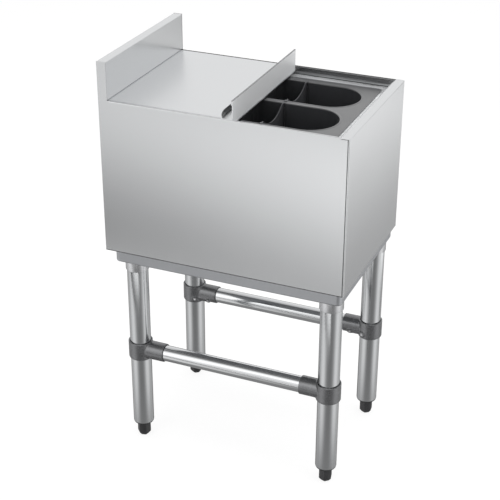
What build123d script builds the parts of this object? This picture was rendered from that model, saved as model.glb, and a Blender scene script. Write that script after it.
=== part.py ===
from build123d import *

import math
import os

# Whole bin, in millimetres: X is width, Y is depth with the user at minus Y, Z is height from the floor
bin_width = 315.0
bin_depth = 476.0
rim_height = 732.0
box_height = 303.0
backsplash_rise = 72.0
backsplash_depth = 18.0

# Sheet gauges, bends and gaps that several pieces share
shell_sheet = 1.2
liner_sheet = 1.0
pan_sheet = 1.0
bend_radius = 1.8
seam = 0.3
running_gap = 0.3
weld_gap = 0.5

# How far a cutter runs past a face that it opens, and how far a picked edge may lie off its line
overshoot = 1.0
tolerance = 0.01

# Rim round the opening
hem_width = 5.5
rim_drop = 9.0
front_rim_flat = 16.0
front_rim_slope = 8.0
corner_fold = 2.4
corner_flange = 12.0
bottom_flange = 11.0
backsplash_hem = 10.0
backsplash_foot = 9.0

# Fixed deck over the back of the bin, with its rolled front edge
nose_face_y = 10.0
nose_radius = 6.5
nose_drop = 10.3
deck_corner_width = 48.0
deck_corner_radius = 76.0
deck_rear_flange = 10.0

# Liner and its foam
ledge_drop = 16.5
ledge_width = 26.0
ledge_depth = 18.0
liner_depth = 278.0
liner_corner_radius = 30.0
liner_floor_radius = 18.0

# Pan that closes the underside
pan_inset_side = 3.0
pan_inset_front = 6.0
pan_inset_rear = 16.0
pan_height = 22.0
pan_corner_radius = 10.0
pan_edge_radius = 3.0
pan_rim = 11.0

# Sliding lid, drawn at its open end of travel
lid_front_y = -22.0
lid_rear_clearance = 6.0
lid_handle_rise = 34.0
lid_bend_radius = 3.0
lid_hem_width = 3.0
lid_hem_depth = 9.0
lid_side_gap = 1.0
lid_drop = 11.8
lid_sheet = 1.2
lid_corner_radius = 2.0
glide_width = 8.0
glide_inset = 1.0
glide_end_inset = 5.0
glide_end_slope = 2.0

# Bottle well insert
insert_flange = 1.7
insert_overlap = 7.0
insert_rear_y = 8.0
insert_corner_radius = 5.5
well_bridge = 14.0
well_side_gap = 10.8
well_front_margin = 20.5
well_rear_margin = 11.0
well_rear_radius = 12.0
well_depth = 190.0
well_wall = 2.2
well_lip_radius = 1.2
well_floor_radius = 8.0
slot_rib_width = 1.6
slot_rib_height = 2.0
slot_rib_root = 0.5
slot_rib_top_gap = 8.0

# Dividers in the wells
divider_y = -60.0
divider_sheet = 1.6
divider_side_gap = 0.5
divider_floor_gap = 7.0
divider_saddle = 15.0
divider_shoulder = 7.0
divider_hook_length = 5.4
divider_hook_width = 6.0
divider_hook_sheet = 1.1

# Drain
drain_y = 90.0
drain_flange_radius = 30.0
drain_flange_height = 3.0
drain_flange_chamfer = 0.75
drain_tube_radius = 19.0
drain_bore_radius = 16.0
drain_tube_reach = 11.0
strainer_radius = 22.0
strainer_sheet = 1.5
strainer_hole_radius = 1.8
inner_ring_radius = 7.5
inner_ring_count = 6
outer_ring_radius = 14.5
outer_ring_count = 12
gasket_radius = 28.0
gasket_height = 2.0
locknut_flats = 52.0
locknut_height = 8.0
thread_gap = 0.1
tailpiece_wall = 1.5
tailpiece_engagement = 15.0
tailpiece_collar_radius = 18.5
tailpiece_collar_height = 5.0
tailpiece_length = 38.0

# Legs, their sockets and plugs
leg_diameter = 41.3
leg_wall = 1.5
leg_inset_side = 31.0
leg_inset_front = 32.0
leg_inset_rear = 49.0
leg_bottom = 36.0
socket_height = 21.0
socket_wall = 1.8
socket_cap = 2.0
tube_fit = 0.15
plug_lip_height = 6.5
plug_lip_radius = 20.3
plug_lip_chamfer = 4.5
plug_length = 32.0

# Adjustable feet
foot_flats = 23.6
foot_taper_height = 6.5
foot_sole_flats = 15.0
foot_stud_radius = 6.0
foot_stud_length = 36.0
foot_stud_chamfer = 1.0
foot_thread_gap = 0.06
foot_stop_gap = 0.2

# Rails and the tees that hold them
rail_diameter = 31.75
rail_wall = 1.5
rail_height = 206.0
tee_collar_radius = 24.0
tee_collar_height = 38.0
tee_branch_radius = 18.25
tee_branch_length = 55.0
tee_branch_stop = 25.0
tee_bottom_chamfer = 2.5
tee_edge_chamfer = 0.8
tee_boss_radius = 6.0
tee_boss_rise = 2.4
tee_pad_width = 11.0
tee_pad_rise = 1.4
tee_screw_tilt = 29.0
collar_screw_turn = 24.0
collar_screw_drop = 8.0
branch_screw_reach = 38.0

# Set screws
screw_radius = 3.0
screw_gap = 0.1
screw_stand = 0.4
screw_socket_flats = 3.2
screw_socket_depth = 1.8
socket_screw_length = 5.0

# Planes and faces worked out from the sizes above
front_y = -bin_depth / 2
back_y = bin_depth / 2
side_x = bin_width / 2
shell_bottom = rim_height - box_height
backsplash_top = rim_height + backsplash_rise
splash_face_y = back_y - backsplash_depth
opening_x = side_x - hem_width
opening_front_y = front_y + front_rim_flat + front_rim_slope
opening_rear_y = -opening_front_y
ledge_z = rim_height - ledge_drop
liner_floor_z = rim_height - liner_depth
well_x = opening_x - ledge_width
well_width = well_x - well_side_gap - well_wall - well_bridge / 2
well_front_y = opening_front_y + ledge_depth
well_rear_y = opening_rear_y - ledge_depth
pan_bottom = shell_bottom - pan_height
insert_top = ledge_z + insert_flange
lid_top = rim_height - lid_drop
lid_bottom = lid_top - lid_sheet
leg_radius = leg_diameter / 2
rail_radius = rail_diameter / 2
leg_x = side_x - leg_inset_side
leg_front_y = front_y + leg_inset_front
leg_rear_y = back_y - leg_inset_rear
socket_inner_radius = leg_radius + tube_fit
socket_outer_radius = socket_inner_radius + socket_wall
plug_bottom = leg_bottom - plug_lip_height
foot_top = plug_bottom - foot_stop_gap
drain_tube_bottom = pan_bottom - drain_tube_reach
tailpiece_bottom = drain_tube_bottom - tailpiece_length
tailpiece_radius = drain_bore_radius - thread_gap

SIDES = {"left": -1, "right": 1}
ENDS = {"front": -1, "rear": 1}


def block(x, y, z):
    """Box between two planes on each axis, each given as a pair."""
    size = [pair[1] - pair[0] for pair in (x, y, z)]
    middle = [(pair[0] + pair[1]) / 2 for pair in (x, y, z)]
    return Pos(*middle) * Box(*size)


def post(x, y, z, radius):
    """Upright round bar between two heights."""
    return Pos(x, y, (z[0] + z[1]) / 2) * Cylinder(radius, z[1] - z[0])


def tube(x, y, z, outer, inner):
    """Upright tube between two heights."""
    return post(x, y, z, outer) - post(x, y, z, inner)


def folded(points, radius, thickness, plane, length):
    """Folded sheet: its outer line bent at each point, thickened to the right and drawn out."""
    line = FilletPolyline(*points, radius=radius)
    section = make_face(offset(line, thickness, side=Side.RIGHT).edges())
    return extrude(plane * section, amount=length)


def rounded_block(x, y, z, corner, floor_edge):
    """Box with round upright corners and a round lower edge."""
    body = block(x, y, z)
    body = fillet(body.edges().filter_by(Axis.Z), corner)
    return fillet(body.edges().group_by(Axis.Z)[0], floor_edge)


def mirrored(part, side, end=-1):
    """Piece drawn at the front left, mirrored to another side and end."""
    if side > 0:
        part = mirror(part, about=Plane.YZ)
    if end > 0:
        part = mirror(part, about=Plane.XZ)
    return part


def at_leg(part, side, end):
    """Piece drawn round the Z axis for the front left leg, set on another leg."""
    y = leg_front_y if end < 0 else leg_rear_y
    return Pos(side * leg_x, y, 0) * mirrored(part, side, end)


def side_panel(side):
    """Side skin with its hemmed rim, bottom flange and the closed end of the backsplash."""
    start_y = front_y + corner_fold + seam
    hem_start_y = front_y + front_rim_flat + seam
    points = [
        (-side_x + bottom_flange, shell_bottom),
        (-side_x, shell_bottom),
        (-side_x, rim_height),
        (-opening_x, rim_height),
        (-opening_x, rim_height - rim_drop),
    ]
    skin = folded(points, bend_radius, shell_sheet, Plane.XZ.offset(-back_y), back_y - start_y)
    inside = (-side_x + shell_sheet, side_x)
    under_rim = rim_height - bend_radius - seam
    past_front = (start_y - overshoot, hem_start_y)
    past_top = (under_rim - rim_drop, rim_height + overshoot)
    skin -= block((-side_x - overshoot, 0), past_front, (under_rim, rim_height + overshoot))
    skin -= block(inside, past_front, past_top)
    skin -= block(inside, (splash_face_y, back_y + overshoot), past_top)
    wall = (-side_x, -side_x + shell_sheet)
    skin += block(wall, (splash_face_y, back_y), (rim_height - bend_radius, backsplash_top))
    behind = (back_y - shell_sheet - seam, back_y + overshoot)
    skin -= block(inside, behind, (shell_bottom - overshoot, shell_bottom + bend_radius))
    flange_y = (start_y, start_y + shell_sheet)
    flange_z = (shell_bottom + shell_sheet + seam, under_rim)
    skin += block((-side_x, -side_x + corner_flange), flange_y, flange_z)
    return mirrored(skin, side)


def front_panel():
    """Front skin with folded side edges, a flat front rim and the sloped lip behind it."""
    rim_end = (front_y + front_rim_flat, rim_height)
    bends = FilletPolyline(
        (front_y + bottom_flange, shell_bottom),
        (front_y, shell_bottom),
        (front_y, rim_height),
        rim_end,
        radius=bend_radius,
    )
    lip = Polyline(
        rim_end,
        (opening_front_y, rim_height - front_rim_slope),
        (opening_front_y, rim_height - rim_drop - seam),
    )
    section = make_face(offset(bends + lip, shell_sheet, side=Side.RIGHT).edges())
    skin = extrude(Plane.YZ.offset(-side_x) * section, amount=bin_width)
    fold_y = (front_y, front_y + corner_fold)
    return_x = side_x - bottom_flange - seam
    for side in SIDES.values():
        edge = sorted((side * side_x, side * (side_x - shell_sheet)))
        skin += block(edge, fold_y, (shell_bottom, rim_height - shell_sheet))
        beside = sorted((side * opening_x, side * (side_x + overshoot)))
        skin -= block(beside, (rim_end[0], 0), (shell_bottom, rim_height + overshoot))
        below = sorted((side * return_x, side * (side_x + overshoot)))
        skin -= block(below, (fold_y[1], 0), (shell_bottom - overshoot, shell_bottom + bend_radius))
    envelope_z = (shell_bottom - overshoot, rim_height + overshoot)
    envelope = block((-side_x, side_x), (front_y, 0), envelope_z)
    envelope = fillet(envelope.edges().filter_by(Axis.Z).group_by(Axis.Y)[0], shell_sheet)
    return skin & envelope


def back_panel():
    """Back skin, which runs up to form the rear of the backsplash."""
    half = side_x - shell_sheet - seam
    wall_y = (back_y - shell_sheet, back_y)
    top = backsplash_top - backsplash_hem - seam
    skin = block((-half, half), wall_y, (shell_bottom, top))
    return_x = side_x - bottom_flange - seam
    flange_y = (back_y - pan_inset_rear - bottom_flange, back_y)
    skin += block((-return_x, return_x), flange_y, (shell_bottom, shell_bottom + shell_sheet))
    return skin


def backsplash():
    """Backsplash skin: foot, face, top and the hem behind, folded from one sheet."""
    half = side_x - shell_sheet - seam
    points = [
        (splash_face_y + backsplash_foot, rim_height),
        (splash_face_y, rim_height),
        (splash_face_y, backsplash_top),
        (back_y, backsplash_top),
        (back_y, backsplash_top - backsplash_hem),
    ]
    return folded(points, bend_radius, shell_sheet, Plane.YZ.offset(-half), 2 * half)


def deck_outline(inset, half):
    """Outline of the deck, its front edge swept forward in an arc at each side."""
    face_y = nose_face_y + inset
    radius = deck_corner_radius + inset
    straight = opening_x - seam - deck_corner_width
    reach = half - straight
    sweep = radius - math.sqrt(radius**2 - reach**2)
    rear_y = back_y - shell_sheet - seam
    front = Line((-straight, face_y), (straight, face_y))
    arcs = [
        TangentArc((s * straight, face_y), (s * half, face_y - sweep), tangent=(s, 0))
        for s in SIDES.values()
    ]
    back = Polyline((-half, face_y - sweep), (-half, rear_y), (half, rear_y), (half, face_y - sweep))
    return make_face([front] + arcs + back.edges())


def deck_solid(inset, half, z, radius):
    """Block under the deck outline with its front top edge rolled over."""
    body = extrude(Pos(0, 0, z[0]) * deck_outline(inset, half), amount=z[1] - z[0])
    top = body.edges().group_by(Axis.Z)[-1]
    rolled = [e for e in top if (e @ 0.5).Y < nose_face_y + inset + tolerance]
    return fillet(rolled, radius)


def top_deck():
    """Fixed deck with a rolled front edge."""
    half = opening_x - seam
    bottom = rim_height - nose_drop
    deck = deck_solid(0, half, (bottom, rim_height), nose_radius)
    hollow_z = (bottom - overshoot, rim_height - shell_sheet)
    deck -= deck_solid(shell_sheet, half + overshoot, hollow_z, nose_radius - shell_sheet)
    rear_y = back_y - shell_sheet - seam
    flange_z = (rim_height - deck_rear_flange, rim_height)
    deck += block((-half, half), (rear_y - shell_sheet, rear_y), flange_z)
    return deck


def liner_body(grow, floor_z):
    """Solid that fills the liner, grown all round by a thickness."""
    top = rim_height - rim_drop - seam
    corner = liner_corner_radius + grow
    x = (-well_x - grow, well_x + grow)
    y = (well_front_y - grow, well_rear_y + grow)
    lower = rounded_block(x, y, (floor_z, ledge_z), corner, liner_floor_radius + grow)
    wide_x = (-opening_x - grow, opening_x + grow)
    wide_y = (opening_front_y - grow, opening_rear_y + grow)
    return lower + block(wide_x, wide_y, (ledge_z - grow, top))


def ice_liner():
    """Inner tank with the ledge that carries the insert and the lid."""
    tank = liner_body(liner_sheet, liner_floor_z - liner_sheet)
    hollow = liner_body(0, liner_floor_z)
    top = rim_height - rim_drop - seam
    x = (-opening_x, opening_x)
    hollow += block(x, (opening_front_y, opening_rear_y), (ledge_z, top + overshoot))
    floor = (liner_floor_z - liner_sheet - overshoot, liner_floor_z + overshoot)
    return tank - hollow - post(0, drain_y, floor, drain_tube_radius + seam)


def insulation():
    """Foam between the liner, the skins and the pan."""
    top = ledge_z - liner_sheet - seam
    inner_x = side_x - shell_sheet - seam
    flange_top = shell_bottom + shell_sheet + seam
    rim_bottom = shell_bottom - pan_sheet - seam
    front = front_y + corner_fold + shell_sheet + 2 * seam
    rear = back_y - shell_sheet - seam
    foam = block((-inner_x, inner_x), (front, rear), (flange_top, top))
    foam += pan_body(pan_sheet + seam, pan_bottom + pan_sheet + seam, rim_bottom)
    foam += pan_opening(seam, (rim_bottom, flange_top))
    grow = liner_sheet + seam
    x = (-well_x - grow, well_x + grow)
    y = (well_front_y - grow, well_rear_y + grow)
    z = (liner_floor_z - grow, top + overshoot)
    foam -= rounded_block(x, y, z, liner_corner_radius + grow, liner_floor_radius + grow)
    locknut_reach = locknut_flats / 2 / math.cos(math.pi / 6) + seam
    return foam - post(0, drain_y, (pan_bottom, liner_floor_z), locknut_reach)


def pan_body(inset, z0, z1):
    """Solid that fills the bottom pan, drawn in from its outside by an inset."""
    x = side_x - pan_inset_side - inset
    y = (front_y + pan_inset_front + inset, back_y - pan_inset_rear - inset)
    return rounded_block((-x, x), y, (z0, z1), pan_corner_radius - inset, pan_edge_radius - inset)


def pan_opening(inset, z):
    """Block that fills the opening inside the pan's rim, drawn in by an inset."""
    x = side_x - pan_inset_side - pan_rim - inset
    y = (front_y + pan_inset_front + pan_rim + inset, back_y - pan_inset_rear - pan_rim - inset)
    return block((-x, x), y, z)


def bottom_pan():
    """Shallow pan that closes the underside, its rim turned in below the skins' bottom flanges."""
    pan = pan_body(0, pan_bottom, shell_bottom)
    pan -= pan_body(pan_sheet, pan_bottom + pan_sheet, shell_bottom - pan_sheet)
    pan -= pan_opening(0, (shell_bottom - pan_sheet - overshoot, shell_bottom + overshoot))
    hole = (pan_bottom - overshoot, pan_bottom + pan_sheet + overshoot)
    return pan - post(0, drain_y, hole, drain_tube_radius + weld_gap)


def sliding_lid():
    """Lid folded from one sheet: flat panel, upright handle and the hem along its top."""
    handle_top = rim_height + lid_handle_rise
    rear_y = opening_rear_y - lid_rear_clearance
    hem_radius = lid_hem_width / 2
    hem_y = lid_front_y + lid_hem_width
    hem_start = (lid_front_y, handle_top - hem_radius)
    line = FilletPolyline(
        (rear_y, lid_bottom), (lid_front_y, lid_bottom), hem_start, radius=lid_bend_radius
    )
    hem = JernArc(hem_start, (0, 1), hem_radius, -180)
    fall = Line((hem_y, hem_start[1]), (hem_y, handle_top - lid_hem_depth))
    section = make_face(offset(line + hem + fall, lid_sheet, side=Side.RIGHT).edges())
    half = opening_x - lid_side_gap
    lid = extrude(Plane.YZ.offset(-half) * section, amount=2 * half)
    corners = [e for e in lid.edges().filter_by(Axis.Z) if abs((e @ 0.5).Y - rear_y) < tolerance]
    return fillet(corners, lid_corner_radius)


def lid_glide(side):
    """Low friction runner under one side edge of the lid."""
    outer = opening_x - lid_side_gap - glide_inset
    y = (lid_front_y + glide_end_inset, opening_rear_y - lid_rear_clearance - glide_end_inset)
    glide = block((-outer, -outer + glide_width), y, (ledge_z + running_gap, lid_bottom))
    ends = glide.edges().group_by(Axis.Z)[0].filter_by(Axis.X)
    return mirrored(chamfer(ends, glide_end_slope), side)


def well_outline(inset):
    """Plan of one bottle well, round at the front and square at the back, about X = 0."""
    half = well_width / 2 - inset
    front = well_front_y - insert_overlap + well_front_margin + well_width / 2
    rear = insert_rear_y - well_rear_margin - inset
    radius = well_rear_radius - inset
    square = Pos(0, (front + rear) / 2) * Rectangle(2 * half, rear - front)
    square = fillet(square.vertices().group_by(Axis.Y)[-1], radius)
    return square + Pos(0, front) * Circle(half)


def well_solid(side, inset, z, floor_radius):
    """Upright block on the plan of one well, with a round floor edge."""
    centre = side * (well_bridge + well_width) / 2
    body = extrude(Pos(centre, 0, z[0]) * well_outline(inset), amount=z[1] - z[0])
    return fillet(body.edges().group_by(Axis.Z)[0], floor_radius)


def bottle_well_insert():
    """Drop in tray with two round fronted wells under one flange."""
    x = well_x + insert_overlap
    y = (well_front_y - insert_overlap, insert_rear_y)
    flange = block((-x, x), y, (ledge_z, insert_top))
    tray = fillet(flange.edges().filter_by(Axis.Z), insert_corner_radius)
    floor = insert_top - well_depth
    outer_z = (floor - well_wall, ledge_z + insert_flange / 2)
    for side in SIDES.values():
        tray += well_solid(side, -well_wall, outer_z, well_floor_radius)
    for side in SIDES.values():
        tray -= well_solid(side, 0, (floor, insert_top + overshoot), well_floor_radius)
    lips = [e for e in tray.edges().group_by(Axis.Z)[-1] if is_well_lip(e @ 0.5)]
    tray = fillet(lips, well_lip_radius)
    for side in SIDES.values():
        tray += slot_ribs(side, floor)
    return tray


def is_well_lip(point):
    """True on the top edge of either well."""
    rear = insert_rear_y - well_rear_margin + tolerance
    inside = abs(point.X) < well_bridge / 2 + well_width + tolerance
    return inside and well_front_y + insert_overlap < point.Y < rear


def slot_ribs(side, floor):
    """Two pairs of upright ribs that guide a divider, on both walls of one well."""
    centre = side * (well_bridge + well_width) / 2
    spacing = divider_sheet / 2 + divider_side_gap + slot_rib_width / 2
    z = (floor + well_floor_radius, insert_top - slot_rib_top_gap)
    ribs = []
    for wall in SIDES.values():
        tip = centre + wall * (well_width / 2 - slot_rib_height)
        root = centre + wall * (well_width / 2 + slot_rib_root)
        for place in ENDS.values():
            y = divider_y + place * spacing
            ribs.append(block(sorted((tip, root)), (y - slot_rib_width / 2, y + slot_rib_width / 2), z))
    return ribs


def well_divider(side):
    """Thin plate across one well, its top dipped like a saddle and hooked over both edges."""
    centre = side * (well_bridge + well_width) / 2
    half = well_width / 2 - divider_side_gap
    top = insert_top + divider_hook_sheet
    floor = insert_top - well_depth + divider_floor_gap
    shoulder = half - divider_shoulder
    saddle = ThreePointArc((-shoulder, top), (0, insert_top - divider_saddle), (shoulder, top))
    frame = Polyline(
        (shoulder, top),
        (half, top),
        (half, floor + well_floor_radius),
        (half - well_floor_radius, floor),
        (-half + well_floor_radius, floor),
        (-half, floor + well_floor_radius),
        (-half, top),
        (-shoulder, top),
    )
    plate = extrude(Plane.XZ * make_face([saddle] + frame.edges()), divider_sheet / 2, both=True)
    hook_y = (-divider_hook_width / 2, divider_hook_width / 2)
    reach = well_width / 2 + divider_hook_length
    for wall in SIDES.values():
        hook_x = sorted((wall * (half - divider_hook_sheet), wall * reach))
        plate += block(hook_x, hook_y, (insert_top, top))
    return Pos(centre, divider_y, 0) * plate


def drain_body():
    """Flanged drain tube that stands in the liner floor and passes out through the pan."""
    flange_z = (liner_floor_z, liner_floor_z + drain_flange_height)
    body = post(0, drain_y, flange_z, drain_flange_radius)
    body = chamfer(body.edges().group_by(Axis.Z)[-1], drain_flange_chamfer)
    body += post(0, drain_y, (drain_tube_bottom, liner_floor_z), drain_tube_radius)
    seat_z = (flange_z[1] - strainer_sheet - seam, flange_z[1] + overshoot)
    body -= post(0, drain_y, seat_z, strainer_radius + thread_gap)
    bore_z = (drain_tube_bottom - overshoot, flange_z[1] + overshoot)
    return body - post(0, drain_y, bore_z, drain_bore_radius)


def drain_strainer():
    """Perforated disc that lifts out of the drain flange."""
    bottom = liner_floor_z + drain_flange_height - strainer_sheet - seam
    z = (bottom, bottom + strainer_sheet)
    disc = post(0, drain_y, z, strainer_radius) - post(0, drain_y, z, strainer_hole_radius)
    rings = [(inner_ring_count, inner_ring_radius), (outer_ring_count, outer_ring_radius)]
    for count, ring in rings:
        for step in range(count):
            turn = 2 * math.pi * step / count
            x, y = ring * math.cos(turn), drain_y + ring * math.sin(turn)
            disc -= post(x, y, z, strainer_hole_radius)
    return disc


def drain_gasket():
    """Rubber washer under the liner floor."""
    top = liner_floor_z - liner_sheet
    z = (top - gasket_height, top)
    return tube(0, drain_y, z, gasket_radius, drain_tube_radius + thread_gap)


def drain_locknut():
    """Six sided nut that pulls the drain tube down on its gasket."""
    top = liner_floor_z - liner_sheet - gasket_height
    across = locknut_flats / 2
    plan = RegularPolygon(across, 6, major_radius=False)
    nut = extrude(Pos(0, drain_y, top - locknut_height) * plan, amount=locknut_height)
    bore_z = (top - locknut_height - overshoot, top + overshoot)
    return nut - post(0, drain_y, bore_z, drain_tube_radius + thread_gap)


def drain_tailpiece():
    """Tube pushed into the drain body, with a collar and a free end for a hose."""
    top = drain_tube_bottom + tailpiece_engagement
    collar_z = (drain_tube_bottom - tailpiece_collar_height, drain_tube_bottom)
    pipe = post(0, drain_y, (tailpiece_bottom, top), tailpiece_radius)
    pipe += post(0, drain_y, collar_z, tailpiece_collar_radius)
    bore_z = (tailpiece_bottom - overshoot, top + overshoot)
    return pipe - post(0, drain_y, bore_z, tailpiece_radius - tailpiece_wall)


def socket_screw_axis():
    """Level line through the middle of a leg socket, pointing inboard."""
    return Plane((0, 0, pan_bottom - socket_height / 2), x_dir=(0, 1, 0), z_dir=(1, 0, 0))


def leg_socket():
    """Short cup welded under the pan that takes the top of a leg."""
    z = (pan_bottom - socket_height, pan_bottom)
    cup = post(0, 0, z, socket_outer_radius)
    cup = chamfer(cup.edges().group_by(Axis.Z)[0], tee_edge_chamfer)
    cup -= post(0, 0, (z[0] - overshoot, z[1] - socket_cap), socket_inner_radius)
    hole_end = socket_outer_radius + overshoot
    return cup - along(socket_screw_axis(), leg_radius, hole_end, screw_radius + screw_gap)


def leg():
    """Leg tube from its foot plug up to the cap of its socket."""
    return tube(0, 0, (leg_bottom, pan_bottom - socket_cap), leg_radius, leg_radius - leg_wall)


def leg_plug():
    """Plug in the foot of a leg, with a tapered lip below the tube and a bore for the foot."""
    lip = post(0, 0, (plug_bottom, leg_bottom), plug_lip_radius)
    lip = chamfer(lip.edges().group_by(Axis.Z)[0], plug_lip_chamfer)
    core = post(0, 0, (leg_bottom, leg_bottom + plug_length), leg_radius - leg_wall - tube_fit)
    bore_z = (plug_bottom - overshoot, leg_bottom + plug_length + overshoot)
    bore = post(0, 0, bore_z, foot_stud_radius + foot_thread_gap)
    return lip + core - bore


def foot():
    """Six sided foot on a stud, which screws out of its plug to level the bin."""
    sole = RegularPolygon(foot_sole_flats / 2, 6, major_radius=False)
    plan = Pos(0, 0, foot_taper_height) * RegularPolygon(foot_flats / 2, 6, major_radius=False)
    body = loft([sole, plan], ruled=True)
    body += extrude(plan, amount=foot_top - foot_taper_height)
    stud_top = foot_top + foot_stud_length
    stud = post(0, 0, (foot_top, stud_top), foot_stud_radius)
    stud = chamfer(stud.edges().group_by(Axis.Z)[-1], foot_stud_chamfer)
    return body + stud


def collar_screw_axis():
    """Level line from the leg axis through the collar's screw, turned towards the branch."""
    turn = math.radians(collar_screw_turn)
    outward = (math.cos(turn), math.sin(turn), 0)
    across = (-math.sin(turn), math.cos(turn), 0)
    return Plane((0, 0, rail_height - collar_screw_drop), x_dir=across, z_dir=outward)


def branch_screw_axis():
    """Line from the branch axis through its screw, inboard and tilted down."""
    tilt = math.radians(tee_screw_tilt)
    outward = (math.cos(tilt), 0, -math.sin(tilt))
    return Plane((0, branch_screw_reach, rail_height), x_dir=(0, 1, 0), z_dir=outward)


def along(axis, start, end, radius):
    """Round bar along a line between two distances from its start."""
    return axis * Pos(0, 0, (start + end) / 2) * Cylinder(radius, end - start)


def tee():
    """Clamp tee: a collar on the leg, a branch for the rail and a raised pad for two screws."""
    half = tee_collar_height / 2
    collar = post(0, 0, (rail_height - half, rail_height + half), tee_collar_radius)
    collar = chamfer(collar.edges().group_by(Axis.Z)[0], tee_bottom_chamfer)
    collar = chamfer(collar.edges().group_by(Axis.Z)[-1], tee_edge_chamfer)
    branch_line = Plane((0, 0, rail_height), x_dir=(1, 0, 0), z_dir=(0, 1, 0))
    branch = along(branch_line, 0, tee_branch_length, tee_branch_radius)
    branch = chamfer(branch.edges().group_by(Axis.Y)[-1], tee_edge_chamfer)
    pad_face = tee_branch_radius + tee_pad_rise
    pad_length = branch_screw_reach - tee_boss_radius
    pad = Box(pad_length, tee_pad_width, pad_face)
    pad = branch_screw_axis() * Pos(-pad_length / 2 + tee_boss_radius / 2, 0, pad_face / 2) * pad
    solid = collar + branch + pad
    solid += along(collar_screw_axis(), 0, tee_collar_radius + tee_boss_rise, tee_boss_radius)
    solid += along(branch_screw_axis(), 0, tee_branch_radius + tee_boss_rise, tee_boss_radius)
    bore = half + overshoot
    solid -= post(0, 0, (rail_height - bore, rail_height + bore), leg_radius + tube_fit)
    solid -= along(branch_line, tee_branch_stop, tee_branch_length + overshoot, rail_radius + tube_fit)
    for axis, face in tee_screw_axes():
        solid -= along(axis, face / 2, face + overshoot, screw_radius + screw_gap)
    return solid


def tee_screw_axes():
    """The two screw lines of a tee, each with the distance to the face of its boss."""
    return [
        (collar_screw_axis(), tee_collar_radius + tee_boss_rise),
        (branch_screw_axis(), tee_branch_radius + tee_boss_rise),
    ]


def set_screw(axis, start, end):
    """Set screw along a line, its outer end sunk with a six sided socket."""
    body = along(axis, start, end, screw_radius)
    plan = RegularPolygon(screw_socket_flats / 2, 6, major_radius=False)
    socket = extrude(plan, amount=screw_socket_depth + overshoot)
    return body - axis * Pos(0, 0, end - screw_socket_depth) * socket


def tee_set_screws():
    """All the screws that clamp the tees to the legs and the rails."""
    tubes = (leg_radius, rail_radius)
    pair = [
        set_screw(axis, radius + tube_fit, face + screw_stand)
        for (axis, face), radius in zip(tee_screw_axes(), tubes)
    ]
    screws = [at_leg(screw, s, e) for s in SIDES.values() for e in ENDS.values() for screw in pair]
    return Compound(children=screws)


def socket_set_screws():
    """One screw through the inboard wall of each leg socket."""
    start = leg_radius + tube_fit / 2
    screw = set_screw(socket_screw_axis(), start, start + socket_screw_length)
    screws = [at_leg(screw, s, e) for s in SIDES.values() for e in ENDS.values()]
    return Compound(children=screws)


def rail(side):
    """Rail tube between the front and rear tees of one side."""
    y = (leg_front_y + tee_branch_stop + seam, leg_rear_y - tee_branch_stop - seam)
    line = Plane((side * leg_x, 0, rail_height), x_dir=(1, 0, 0), z_dir=(0, 1, 0))
    return along(line, *y, rail_radius) - along(line, *y, rail_radius - rail_wall)


def build():
    """Every node of the bin by name."""
    nodes = {
        "front_panel": front_panel(),
        "back_panel": back_panel(),
        "top_deck": top_deck(),
        "backsplash": backsplash(),
        "ice_liner": ice_liner(),
        "insulation": insulation(),
        "bottom_pan": bottom_pan(),
        "sliding_lid": sliding_lid(),
        "bottle_well_insert": bottle_well_insert(),
        "drain_body": drain_body(),
        "drain_strainer": drain_strainer(),
        "drain_gasket": drain_gasket(),
        "drain_locknut": drain_locknut(),
        "drain_tailpiece": drain_tailpiece(),
        "tee_set_screws": tee_set_screws(),
        "socket_set_screws": socket_set_screws(),
    }
    for side_name, side in SIDES.items():
        nodes[f"side_panel_{side_name}"] = side_panel(side)
        nodes[f"lid_glide_{side_name}"] = lid_glide(side)
        nodes[f"well_divider_{side_name}"] = well_divider(side)
        nodes[f"rail_{side_name}"] = rail(side)
        for end_name, end in ENDS.items():
            place = f"{end_name}_{side_name}"
            nodes[f"leg_socket_{place}"] = at_leg(leg_socket(), side, end)
            nodes[f"leg_{place}"] = at_leg(leg(), side, end)
            nodes[f"leg_plug_{place}"] = at_leg(leg_plug(), side, end)
            nodes[f"foot_{place}"] = at_leg(foot(), side, end)
            nodes[f"tee_{place}"] = at_leg(tee(), side, end)
    return nodes


os.makedirs("parts", exist_ok=True)
for name, solid in build().items():
    export_step(solid, f"parts/{name}.step")
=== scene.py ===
"""Underbar ice bin: its looks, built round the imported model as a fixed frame, in metres."""

import logging
import math
from abc import ABC, abstractmethod
from collections.abc import Callable, Iterator, Sequence
from contextlib import contextmanager
from dataclasses import dataclass, replace
from enum import Enum
from typing import Any, ClassVar

import bmesh
import bpy
from mathutils import Matrix, Vector


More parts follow.
